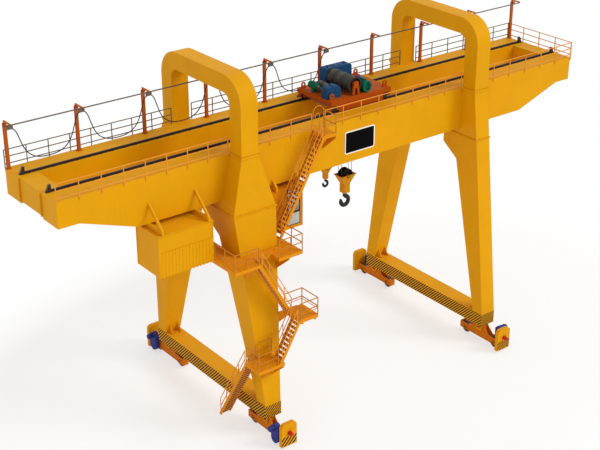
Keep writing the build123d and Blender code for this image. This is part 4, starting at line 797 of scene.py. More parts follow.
@dataclass(frozen=True)
class Lighting:
    """The pale floor, the open sky that fills the shade and one broad lamp."""

    sky: float = 0.74
    fill: Colour = (1.0, 0.965, 0.92)
    lamp: float = 1.30
    lamp_from: Point = (0.52, -0.60, 0.66)
    lamp_spread: float = 24.0
    floor_half: float = 220.0
    floor_drop: float = 0.002
    floor_thick: float = 0.05
    floor_tone: float = 0.97
    floor_veil: float = 0.62
    fade_start: float = 8.0
    fade_end: float = 22.0
    fade_shape: Point = (0.7, 1.0, 0.0)

    def build(self) -> None:
        """Put the floor, the sky and the lamp in place."""
        self._sky()
        self._lamp()
        self._floor()

    @staticmethod
    def _seen(graph: Graph) -> Channel:
        """1 for what the eye, a shine or a pane shows, else 0."""
        path = graph.node("ShaderNodeLightPath", output="Is Camera Ray")
        return path.top(path.output("Is Glossy Ray")).top(path.output("Is Transmission Ray"))

    def _sky(self) -> None:
        """Make the world: white to look at, dimmer as a light."""
        world = bpy.data.worlds.new("open_sky")
        world.use_nodes = True
        graph = Graph(world.node_tree)
        fill = graph.node("ShaderNodeBackground", inputs={"Color": (*self.fill, 1), "Strength": self.sky})
        white = graph.node("ShaderNodeBackground", inputs={"Color": (1, 1, 1, 1), "Strength": 1.0})
        both = graph.node("ShaderNodeMixShader", inputs={0: self._seen(graph), 1: fill, 2: white})
        graph.node("ShaderNodeOutputWorld", inputs={"Surface": both})
        bpy.context.scene.world = world

    def _lamp(self) -> None:
        """Hang the broad lamp."""
        data = bpy.data.lights.new("broad_lamp", "SUN")
        data.energy, data.angle = self.lamp, math.radians(self.lamp_spread)
        lamp = bpy.data.objects.new("broad_lamp", data)
        lamp.rotation_mode = "QUATERNION"
        lamp.rotation_quaternion = Vector(self.lamp_from).to_track_quat("Z", "Y")
        bpy.context.scene.collection.objects.link(lamp)

    def _floor(self) -> None:
        """Lay the floor, which takes the shadow near the crane and fades to white far from it."""
        work = Work()
        half, low = self.floor_half, CAD_BOX[0].z - self.floor_drop
        work.bar((-half, -half, low - self.floor_thick), (half, half, low))
        material = bpy.data.materials.new("pale_floor")
        material.use_nodes = True
        graph = Graph(material.node_tree)
        place = graph.place()
        flat = graph.node("ShaderNodeVectorMath", {"operation": "LENGTH"},
                          {0: graph.stretch(place, self.fade_shape)}, output="Value")
        grain = graph.noise(place, 0.8, 4.0)
        tone = graph.mix(grain, (self.floor_tone,) * 3, (self.floor_tone * 1.02,) * 3)
        matt = graph.node("ShaderNodeBsdfDiffuse", inputs={"Color": tone})
        white = graph.node("ShaderNodeEmission", inputs={"Color": (1, 1, 1, 1), "Strength": 1.0})
        far = flat.rise(self.fade_start, self.fade_end).top(self.floor_veil) * self._seen(graph)
        both = graph.node("ShaderNodeMixShader", inputs={0: far, 1: matt, 2: white})
        graph.node("ShaderNodeOutputMaterial", inputs={"Surface": both})
        work.done("pale_floor", material)


@dataclass(frozen=True)
class Eye:
    """The camera at the photograph's viewing angle."""

    stands: Point = (-46.135, -57.720, 44.660)
    looks: Point = (0.5525, 0.7138, -0.4304)
    lens: float = 76.88
    sensor: float = 36.0
    sees: Span = (0.5, 900.0)

    def build(self) -> None:
        """Place the camera and make it the scene's own."""
        data = bpy.data.cameras.new("eye")
        data.lens, data.sensor_width = self.lens, self.sensor
        data.clip_start, data.clip_end = self.sees
        camera = bpy.data.objects.new("eye", data)
        camera.location = self.stands
        camera.rotation_mode = "QUATERNION"
        camera.rotation_quaternion = Vector(self.looks).to_track_quat("-Z", "Y")
        bpy.context.scene.collection.objects.link(camera)
        bpy.context.scene.camera = camera


class Work:
    """A mesh under construction. Each method adds one form to it."""

    def __init__(self) -> None:
        """Start with nothing."""
        self.mesh = bmesh.new()

    def bar(self, low: Point, high: Point, soft: float = 0.0) -> None:
        """Add a box between two corners.

        Args:
            low: one corner.
            high: the opposite corner.
            soft: the radius of its edges.
        """
        size = [abs(b - a) for a, b in zip(low, high)]
        middle = (Vector(high) + Vector(low)) / 2
        matrix = Matrix.Translation(middle) @ Matrix.Diagonal((*size, 1))
        made = bmesh.ops.create_cube(self.mesh, size=1.0, matrix=matrix)
        if soft:
            edges = list(dict.fromkeys(edge for vert in made["verts"] for edge in vert.link_edges))
            bmesh.ops.bevel(self.mesh, geom=edges, offset=soft, segments=2, affect="EDGES", profile=0.5)

    def round(self, start: Sequence[float], end: Sequence[float], radius: float,
              far_radius: float | None = None, sides: int = 20) -> None:
        """Add a round bar, or a cone, between two points.

        Args:
            start: the middle of its first end.
            end: the middle of its other end.
            radius: its radius at the first end.
            far_radius: its radius at the other end, if that differs.
            sides: how many flats it has round it.
        """
        run = Vector(end) - Vector(start)
        turn = run.to_track_quat("Z", "Y").to_matrix().to_4x4()
        matrix = Matrix.Translation((Vector(start) + Vector(end)) / 2) @ turn
        far = radius if far_radius is None else far_radius
        bmesh.ops.create_cone(self.mesh, cap_ends=True, segments=sides, radius1=radius, radius2=far,
                              depth=run.length, matrix=matrix)

    def bolt(self, base: Point, out: Sequence[float], radius: float = 0.022, washer: bool = True) -> None:
        """Add a hexagon bolt head on its washer.

        Args:
            base: where it sits on the surface.
            out: the way it stands out.
            radius: half its width across corners.
            washer: whether it sits on a washer.
        """
        root, way = Vector(base), Vector(out).normalized()
        step = root + way * radius * 0.25
        if washer:
            self.round(root, step, radius * 1.45, sides=14)
        self.round(step, step + way * radius * 1.1, radius, sides=6)

    def sweep(self, points: Sequence[Point], radius: float, sides: int = 8) -> None:
        """Add a tube of even thickness through points.

        Args:
            points: the middle of the tube, ring by ring.
            radius: its radius.
            sides: how many flats it has round it.
        """
        path = [Vector(point) for point in points]
        rings: list[list[bmesh.types.BMVert]] = []
        side = Vector((0.0, 0.0, 1.0))
        for index, here in enumerate(path):
            way = (path[min(index + 1, len(path) - 1)] - path[max(index - 1, 0)]).normalized()
            if abs(side.dot(way)) > 0.95:
                side = Vector((1.0, 0.0, 0.0)) if abs(way.x) < 0.9 else Vector((0.0, 1.0, 0.0))
            side = (side - way * side.dot(way)).normalized()
            other = way.cross(side)
            spokes = [side * math.cos(a) + other * math.sin(a) for a in turns(sides)]
            rings.append([self.mesh.verts.new(here + spoke * radius) for spoke in spokes])
        for low, high in zip(rings, rings[1:]):
            for step in range(sides):
                after = (step + 1) % sides
                self.mesh.faces.new((low[step], low[after], high[after], high[step]))
        self.mesh.faces.new(list(reversed(rings[0])))
        self.mesh.faces.new(rings[-1])

    def plate(self, outline: Sequence[Sequence[float]], out: Sequence[float]) -> None:
        """Add a flat plate.

        Args:
            outline: its corners in order.
            out: how far and which way it is thick.
        """
        base = [self.mesh.verts.new(point) for point in outline]
        lid = [self.mesh.verts.new(Vector(point) + Vector(out)) for point in outline]
        self.mesh.faces.new(base)
        self.mesh.faces.new(list(reversed(lid)))
        for index in range(len(base)):
            after = (index + 1) % len(base)
            self.mesh.faces.new((base[index], lid[index], lid[after], base[after]))

    def fins(self, axis: Along, start: Point, length: float, radius: float, count: int, fin: Span,
             gap: Span = (0.0, 0.0)) -> None:
        """Add cooling fins along a round motor.

        Args:
            axis: the motor's axis, X or Y.
            start: the motor's middle where the fins begin.
            length: how far they run along the axis.
            radius: the motor's radius.
            count: how many places for fins there are round it.
            fin: half a fin's thickness, and how far it stands out.
            gap: the angles in degrees between which there are none.
        """
        along, (half, high) = Vector(axis.value), fin
        for angle in turns(count):
            if gap[0] < math.degrees(angle) < gap[1]:
                continue
            flat, up = math.cos(angle), math.sin(angle)
            out = Vector((0, flat, up)) if axis is Along.X else Vector((flat, 0, up))
            root = Vector(start) + out * (radius - 0.004)
            tip = root + along * length
            across = out.cross(along) * half
            self.plate([root - across, root + across, tip + across, tip - across], out * high)

    def piece(self, name: str, coats: Coats, slot: Slot, body: str = "structure") -> bpy.types.Object:
        """Turn the work into a piece of the crane.

        Args:
            name: the piece's name.
            coats: the finishes by slot.
            slot: the record's material slot that its finish belongs to.
            body: the moving body that carries it, if it is one alone.

        Returns:
            The new piece.
        """
        made = self.done(name, coats[slot])
        if body:
            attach(made, body)
        return made

    def done(self, name: str, material: bpy.types.Material) -> bpy.types.Object:
        """Turn the work into an object.

        Args:
            name: the object's name.
            material: its finish.

        Returns:
            The new object.
        """
        bmesh.ops.recalc_face_normals(self.mesh, faces=self.mesh.faces)
        mesh = bpy.data.meshes.new(name)
        self.mesh.to_mesh(mesh)
        self.mesh.free()
        mesh.shade_smooth()
        mesh.set_sharp_from_angle(angle=math.radians(35))
        mesh.materials.append(material)
        piece = bpy.data.objects.new(name, mesh)
        bpy.context.scene.collection.objects.link(piece)
        return piece


def turns(count: int) -> list[float]:
    """Even angles round a circle."""
    return [2 * math.pi * step / count for step in range(count)]


def spread(low: float, high: float, pitch: float) -> list[float]:
    """Even places from one end to the other.

    Args:
        low: the first place.
        high: the last place.
        pitch: the widest step between two places.

    Returns:
        The places in order.
    """
    count = max(1, math.ceil((high - low) / pitch))
    return [low + (high - low) * step / count for step in range(count + 1)]


def ring(middle: Point, radius: float, count: int, axis: Along, start: float = 0.0) -> list[Point]:
    """Points round a circle.

    Args:
        middle: the circle's middle.
        radius: its radius.
        count: how many points.
        axis: the axis that it goes round.
        start: the first point's angle.

    Returns:
        The points in order.
    """
    x, y, z = middle
    flat = [(radius * math.cos(start + a), radius * math.sin(start + a)) for a in turns(count)]
    if axis is Along.X:
        return [(x, y + a, z + b) for a, b in flat]
    if axis is Along.Y:
        return [(x + a, y, z + b) for a, b in flat]
    return [(x + a, y + b, z) for a, b in flat]


Coats = dict[Slot, bpy.types.Material]
Pieces = list[bpy.types.Object]


@dataclass
class Girders:
    """The two girders with their trolley rails and the load plate."""

    rail_line: float = 1.495
    rail_foot: float = 0.065
    rail_end: float = 18.8
    top: float = 17.48
    clip: Span = (0.05, 0.03)
    clip_pitch: float = 0.75
    clip_pad: float = 0.032
    clip_lip: Span = (0.030, 0.048)
    clip_bolt: float = 0.014
    clip_bolt_top: float = 0.066
    plate_face: float = -2.92
    plate_x: Span = (-0.20, 1.92)
    plate_z: Span = (15.39, 16.61)
    plate_pitch: float = 0.53
    plate_bolt: float = 0.016
    splice_x: float = 19.55
    splice_y: float = 1.25
    splice_z: Span = (16.2, 17.36)
    splice_thick: float = 0.06
    splice_pitch: float = 0.2
    splice_bolt: float = 0.02

    def build(self, coats: Coats) -> Pieces:
        """Add the rail clips, the splice bolts and the plate's bolts.

        Args:
            coats: the finishes by slot.

        Returns:
            The new pieces.
        """
        clips, bolts, studs = Work(), Work(), Work()
        for side, x, out in product(SIDES, spread(-self.rail_end, self.rail_end, self.clip_pitch), SIDES):
            self._clip(clips, x, side * self.rail_line + out * self.rail_foot, out)
        for end, side, z in product(SIDES, SIDES, spread(*self.splice_z, self.splice_pitch)):
            for face, out in ((self.splice_y, 1), (self.splice_y - self.splice_thick, -1)):
                bolts.bolt((end * self.splice_x, side * face, z), (0, side * out, 0), self.splice_bolt)
        for x, z in product(spread(*self.plate_x, self.plate_pitch), self.plate_z):
            studs.bolt((x, self.plate_face, z), (0, -1, 0), self.plate_bolt)
        return [clips.piece("rail_clips", coats, Slot.RAIL),
                bolts.piece("splice_bolts", coats, Slot.SADDLE),
                studs.piece("load_plate_bolts", coats, Slot.RAIL)]

    def _clip(self, clips: Work, x: float, y: float, out: int) -> None:
        """Add one clip: a lip over the rail's foot, a pad beside it and a bolt.

        Args:
            clips: the mesh that takes it.
            x: its place along the rail.
            y: the edge of the rail's foot.
            out: 1 or -1, the way that edge faces.
        """
        half, reach = self.clip
        low, high = (self.top + level for level in self.clip_lip)
        clips.bar((x - half, y - out * reach, low), (x + half, y + out * reach, high))
        clips.bar((x - half, y, self.top), (x + half, y + out * reach, self.top + self.clip_pad))
        bolt = y + out * self.clip_bolt
        clips.round((x, bolt, high), (x, bolt, self.top + self.clip_bolt_top), self.clip_bolt, sides=6)


@dataclass
class Frames:
    """The two portal frames: legs, arches and sills."""

    lines: Span = (-8.07, 9.93)
    shoulder_half: Span = (1.49, 0.605)
    shoulder: Span = (14.27, 14.33)
    shoulder_y: Span = (1.41, 4.449)
    crown_half: float = 0.605
    crown_y: Span = (3.03, 4.05)
    crown: Span = (17.42, 17.54)
    bolt_pitch: float = 0.26
    bolt: float = 0.02

    def build(self, coats: Coats) -> Pieces:
        """Add the bolts round the flanges at the legs' shoulders and under the arches.

        Args:
            coats: the finishes by slot.

        Returns:
            The new piece.
        """
        bolts = Work()
        for line, half in zip(self.lines, self.shoulder_half):
            for side in SIDES:
                for level, out in zip(self.shoulder, SIDES):
                    self._flange(bolts, (line, side, level), half, self.shoulder_y, out)
                for level, out in zip(self.crown, SIDES):
                    self._flange(bolts, (line, side, level), self.crown_half, self.crown_y, out)
        return [bolts.piece("flange_bolts", coats, Slot.SADDLE)]

    def _flange(self, bolts: Work, place: Point, half: float, reach: Span, out: int) -> None:
        """Add bolts along the two sides and the outer edge of one flange.

        Args:
            bolts: the mesh that takes them.
            place: the frame's line, the side it is on (1 or -1) and the flange's level.
            half: how far each row stands from the frame's line.
            reach: where the rows start and end across the crane.
            out: 1 for the flange's top, -1 for its underside.
        """
        (x, side, z), (near, far) = place, reach
        for y, edge in product(spread(near, far, self.bolt_pitch), (-half, half)):
            bolts.bolt((x + edge, side * y, z), (0, 0, out), self.bolt)
        for step in spread(-half, half, self.bolt_pitch)[1:-1]:
            bolts.bolt((x + step, side * far, z), (0, 0, out), self.bolt)


@dataclass
class Bogies:
    """The four bogies with their drives and buffers."""

    lines: Span = (-8.07, 9.93)
    pin_y: float = 5.45
    pin_z: float = 0.98
    pin_face: float = 0.33
    keeper_half: float = 0.085
    keeper_z: Span = (0.03, 0.075)
    keeper_thick: float = 0.014
    keeper_bolt: Point = (0.055, 0.052, 0.012)
    wheel_half: float = 1.33
    axle_z: float = 0.40
    cap_face: float = 0.25
    cap_ring: float = 0.105
    cap_bolt: float = 0.017
    hub: Span = (0.055, 0.02)
    drive_near: float = 0.57
    drive_z: float = 1.25
    drive_bolt: float = 0.013
    motor_radius: float = 0.15
    motor_length: float = 0.38
    fin_run: Span = (0.05, 0.22)
    fin_count: int = 20
    fin: Span = (0.005, 0.024)
    cowl_run: Span = (0.09, 0.015)
    cowl_step: float = 0.014
    flange: float = 0.03
    flange_ring: float = 0.052
    terminal_x: Span = (0.08, 0.22)
    terminal_half: float = 0.06
    terminal_z: Span = (-0.01, 0.07)
    boss_z: float = 0.41
    boss_radius: float = 0.10
    boss_ring: float = 0.16
    cover_x: Span = (0.275, 0.565)
    cover_half: float = 0.33
    cover_z: Span = (0.16, 1.36)
    cover_cut: float = 0.12
    cover_rim: Point = (0.45, 0.12, 0.06)
    buffer_face: float = 7.565
    buffer_z: float = 1.05
    buffer_ring: float = 0.137
    buffer_bolt: float = 0.011

    def build(self, coats: Coats) -> Pieces:
        """Add the caps' bolts, the pins' keepers, the drives' work and the buffers' bolts.

        Args:
            coats: the finishes by slot.

        Returns:
            The new pieces.
        """
        bolts, fins, cowls, covers = Work(), Work(), Work(), Work()
        for (line, out), side in product(zip(self.lines, SIDES), SIDES):
            y = side * (self.pin_y + self.wheel_half)
            self._caps(bolts, line, out, side)
            self._keepers(bolts, line, side * self.pin_y)
            self._motor(fins, cowls, (line + out * self.drive_near, y, self.drive_z), out)
            self._cover(covers, line, out, y)
            for point in ring((line, side * self.buffer_face, self.buffer_z), self.buffer_ring, 8, Along.Y):
                bolts.bolt(point, (0, side, 0), self.buffer_bolt, washer=False)
        return [bolts.piece("bogie_bolts", coats, Slot.WHEEL),
                fins.piece("travel_motor_fins", coats, Slot.DRIVE),
                cowls.piece("travel_motor_cowls", coats, Slot.DRIVE),
                covers.piece("travel_gear_covers", coats, Slot.DRIVE)]

    def _caps(self, bolts: Work, line: float, out: int, side: int) -> None:
        """Add a hub and bolts to the axle caps that no drive covers.

        Args:
            bolts: the mesh that takes them.
            line: the bogie's line along X.
            out: 1 or -1, the way the drive stands from that line.
            side: 1 or -1, the side of the crane.
        """
        radius, high = self.hub
        for pitch, way in product((-self.wheel_half, self.wheel_half), SIDES):
            if pitch > 0 and way == out:
                continue
            middle = (line + way * self.cap_face, side * (self.pin_y + pitch), self.axle_z)
            for point in ring(middle, self.cap_ring, 6, Along.X, 0.5):
                bolts.bolt(point, (way, 0, 0), self.cap_bolt)
            bolts.round(middle, (middle[0] + way * high, *middle[1:]), radius)

    def _keepers(self, bolts: Work, line: float, y: float) -> None:
        """Add a bolted keeper plate over each end of a bogie's pin.

        Args:
            bolts: the mesh that takes them.
            line: the bogie's line along X.
            y: the pin's place across the crane.
        """
        low, high = (self.pin_z + level for level in self.keeper_z)
        step, level, radius = self.keeper_bolt
        for way in SIDES:
            near = line + way * self.pin_face
            far = near + way * self.keeper_thick
            bolts.bar((near, y - self.keeper_half, low), (far, y + self.keeper_half, high), 0.004)
            for place in (y - step, y + step):
                bolts.bolt((far, place, self.pin_z + level), (way, 0, 0), radius)

    def _motor(self, fins: Work, cowls: Work, near: Point, out: int) -> None:
        """Add fins, a fan cowl and a terminal box to a travel motor, and a boss to its gear case.

        Args:
            fins: the mesh that takes the fins.
            cowls: the mesh that takes the rest.
            near: the middle of the motor's end at the gear case.
            out: 1 or -1, the way the motor stands along X.
        """
        (x, y, z), radius = near, self.motor_radius
        far = x + out * self.motor_length
        start, run = self.fin_run
        fins.fins(Along.X, (x + out * start, y, z), out * run, radius, self.fin_count, self.fin)
        cowl, end = (far - out * step for step in self.cowl_run)
        cowls.round((cowl, y, z), (end, y, z), radius + self.cowl_step, sides=28)
        cowls.round((x, y, z), (x + out * self.flange, y, z), radius + self.flange, sides=28)
        (back, front), half = self.terminal_x, self.terminal_half
        low, high = (z + radius + level for level in self.terminal_z)
        cowls.bar((x + out * back, y - half, low), (x + out * front, y + half, high), 0.01)
        for point in ring((x, y, z), radius + self.flange_ring, 6, Along.X):
            cowls.bolt(point, (out, 0, 0), self.drive_bolt)
        for point in ring((x, y, self.boss_z), self.boss_ring, 8, Along.X):
            cowls.bolt(point, (out, 0, 0), self.drive_bolt)
        cowls.round((x, y, self.boss_z), (x + out * self.flange, y, self.boss_z), self.boss_radius, sides=28)

    def _cover(self, covers: Work, line: float, out: int, y: float) -> None:
        """Add the outer half of a travel gear case, with its foot rounded and a rim round it.

        Args:
            covers: the mesh that takes it.
            line: the bogie's line along X.
            out: 1 or -1, the way the case stands from that line.
            y: the case's place across the crane.
        """
        near, far = (line + out * step for step in self.cover_x)
        half, cut, (low, high) = self.cover_half, self.cover_cut, self.cover_z
        foot = [math.pi + math.pi * step / 14 for step in range(15)]
        outline = [(near, y + half * math.cos(a), low + half * (1 + math.sin(a))) for a in foot]
        outline += [(near, y + half, high - cut), (near, y + half - cut, high),
                    (near, y - half + cut, high), (near, y - half, high - cut)]
        covers.plate(outline, (far - near, 0, 0))
        start, thick, step = self.cover_rim
        rim = [(near + (far - near) * start, b + (b - y) * step, c) for _, b, c in outline]
        covers.plate(rim, ((far - near) * thick, 0, 0))


@dataclass
class House:
    """The electric house under the left cantilever."""

    low: Point = (-14.30, -4.13, 11.90)
    high: Point = (-10.78, -1.85, 14.40)
    corner: float = 0.03
    door_y: Span = (-3.45, -2.55)
    door_top: float = 13.90
    frame_half: float = 0.03
    frame_out: float = 0.04
    leaf_out: float = 0.02
    handle_y: float = -3.33
    handle_z: float = 12.85
    hinges: Span = (12.2, 13.6)
    hinge_high: float = 0.14
    rib_face: float = -0.035
    rib_top: float = 13.40

    def build(self, coats: Coats) -> Pieces:
        """Add corner trims, the infill between the ribs and the door with its frame.

        Args:
            coats: the finishes by slot.

        Returns:
            The new pieces.
        """
        trim, gear = Work(), Work()
        (x0, y0, z0), (x1, y1, z1), half = self.low, self.high, self.corner
        for x, y in product((x0, x1), (y0, y1)):
            trim.bar((x - half, y - half, z0), (x + half, y + half, z1), 0.008)
        trim.bar((x0 + half, y0 + self.rib_face, z0 + 0.02),
                 (x1 - half, y0 + 0.02, self.rib_top - 0.01), 0.004)
        self._door(trim, x1)
        y, z = self.handle_y, self.handle_z
        gear.round((x1 + 0.02, y, z), (x1 + 0.07, y, z), 0.012)
        gear.bar((x1 + 0.06, y - 0.04, z - 0.02), (x1 + 0.08, y + 0.10, z + 0.02), 0.006)
        hinge = (x1 + 0.025, self.door_y[1])
        for z in self.hinges:
            gear.round((*hinge, z), (*hinge, z + self.hinge_high), 0.018)
        return [trim.piece("house_trim", coats, Slot.GIRDER), gear.piece("house_door_gear", coats, Slot.RAIL)]

    def _door(self, trim: Work, x: float) -> None:
        """Add a raised leaf and its frame to the wall beside the platform.

        Args:
            trim: the mesh that takes them.
            x: the wall's face.
        """
        (low, high), half, out = self.door_y, self.frame_half, x + self.frame_out
        z0, z1 = self.low[2] + 0.05, self.door_top
        trim.bar((x, low + half, z0), (x + self.leaf_out, high - half, z1), 0.006)
        for y in (low - half, high - half):
            trim.bar((x, y, z0), (out, y + 2 * half, z1 + 2 * half), 0.006)
        trim.bar((x, low, z1), (out, high, z1 + 2 * half), 0.006)


@dataclass
class Cab:
    """The driver's cab beside the rigid leg."""

    low: Point = (-5.97, -3.20, 11.75)
    high: Point = (-3.77, -1.30, 14.45)
    window: Span = (12.80, 14.05)
    front: Span = (-4.87, -3.95)
    right: Span = (-3.02, -1.48)
    back: Span = (-5.79, -3.95)
    fixed_panes: tuple[Span, Span] = ((11.98, 12.74), (14.08, 14.30))
    pane: Panel = Panel("cab_tinted_pane", shade("#B4BAB2"), 0.12)
    rim_half: float = 0.03
    rim_in: float = 0.02
    rim_out: float = 0.008
    strip_half: float = 0.025
    strip_out: float = 0.014
    corner: float = 0.025
    eaves: float = 0.04
    eaves_z: Span = (0.07, 0.03)

    def build(self, coats: Coats) -> Pieces:
        """Add the windows' gaskets, the panes over and under the front window, and the trims.

        Args:
            coats: the finishes by slot.

        Returns:
            The new pieces.
        """
        gasket, panes, trim = Work(), Work(), Work()
        (x0, y0, z0), (x1, y1, top), edge = self.low, self.high, self.corner
        self._rim(gasket, self.front, Along.X, y0, -1)
        self._rim(gasket, self.back, Along.X, y1, 1)
        self._rim(gasket, self.right, Along.Y, x1, 1)
        for low, high in self.fixed_panes:
            self._strips(gasket, y0, low, high)
            panes.bar((self.front[0], y0 - 0.008, low), (self.front[1], y0 - 0.001, high), 0.002)
        for x, y in product((x0, x1), (y0, y1)):
            trim.bar((x - edge, y - edge, z0), (x + edge, y + edge, top - 0.06), 0.01)
        out, (under, over) = self.eaves, self.eaves_z
        trim.bar((x0 - out, y0 - out, top - under), (x1 + out, y1 + out, top - over), 0.008)
        return [gasket.piece("cab_gaskets", coats, Slot.CABLE),
                panes.piece("cab_outer_panes", {Slot.GLASS: self.pane.build()}, Slot.GLASS),
                trim.piece("cab_trim", coats, Slot.CAB)]

    def _rim(self, gasket: Work, span: Span, along: Along, face: float, out: int) -> None:
        """Add a rubber rim round a window.

        Args:
            gasket: the mesh that takes it.
            span: where the window starts and ends along its wall.
            along: the axis that the wall follows.
            face: the wall's outer face.
            out: 1 or -1, the way that face looks.
        """
        near, far, half = face - out * self.rim_in, face + out * self.rim_out, self.rim_half
        (low, high), (z0, z1) = span, self.window
        bars = [((place - half, z0 - half), (place + half, z1 + half)) for place in span]
        bars += [((low, z - half), (high, z + half)) for z in self.window]
        for (start, foot), (end, head) in bars:
            if along is Along.X:
                gasket.bar((start, near, foot), (end, far, head), 0.006)
            else:
                gasket.bar((near, start, foot), (far, end, head), 0.006)

    def _strips(self, gasket: Work, face: float, low: float, high: float) -> None:
        """Add the four strips that hold a pane on the front wall.

        Args:
            gasket: the mesh that takes them.
            face: the wall's outer face.
            low: the pane's lower edge.
            high: the pane's upper edge.
        """
        (left, right), out = self.front, face - self.strip_out
        half, edge = self.rim_half, self.strip_half
        for z in (low, high):
            gasket.bar((left - half, out, z - edge), (right + half, face, z + edge), 0.004)
        for x in self.front:
            gasket.bar((x - half, out, low), (x + half, face, high), 0.004)


@dataclass
class Access:
    """The loose ends of the railings at the stairs and landings."""

    top: float = 17.48
    rail_line: float = -2.9225
    tube: float = 0.02
    hoop: Span = (0.39, 1.42)
    small_hoop: Span = (0.16, 1.00)
    small_gap: float = 0.12
    small_out: float = 0.05
    hoop_foot: float = 0.1
    landing: tuple[Point, ...] = ((-6.7275, -6.8775, 8.27), (-5.4725, -6.8775, 8.27),
                                  (-5.4725, -5.3725, 8.27), (-6.7275, -5.3725, 8.27))

    def build(self, coats: Coats) -> Pieces:
        """Add the arched handrails at the head of the girder stair and the landing's lower bar.

        Args:
            coats: the finishes by slot.

        Returns:
            The new pieces.
        """
        rails, bars = Work(), Work()
        low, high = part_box("top_landing")
        middle = (low.x + high.x) / 2
        self._arch(rails, middle, self.rail_line, self.hoop)
        offset = middle - self.hoop[0] + self.small_hoop[0] + self.small_gap
        self._arch(rails, offset, self.rail_line - self.small_out, self.small_hoop)
        for start, end in zip(self.landing, self.landing[1:]):
            bars.round(start, end, self.tube, sides=10)
        return [rails.piece("stair_head_arches", coats, Slot.HANDRAIL),
                bars.piece("landing_lower_bar", coats, Slot.STAIR)]

    def _arch(self, rails: Work, x: float, y: float, size: Span) -> None:
        """Add a round-topped hoop of tube that stands along X.

        Args:
            rails: the mesh that takes it.
            x: its middle along the girder.
            y: its line across the girder.
            size: half its width, and its height over the girder's top.
        """
        half, height = size
        foot, crown = self.top - self.hoop_foot, self.top + height - half
        bend = [(x - half * math.cos(a), y, crown + half * math.sin(a))
                for a in (math.pi * step / 12 for step in range(13))]
        rails.sweep([(x - half, y, foot), *bend, (x + half, y, foot)], self.tube)


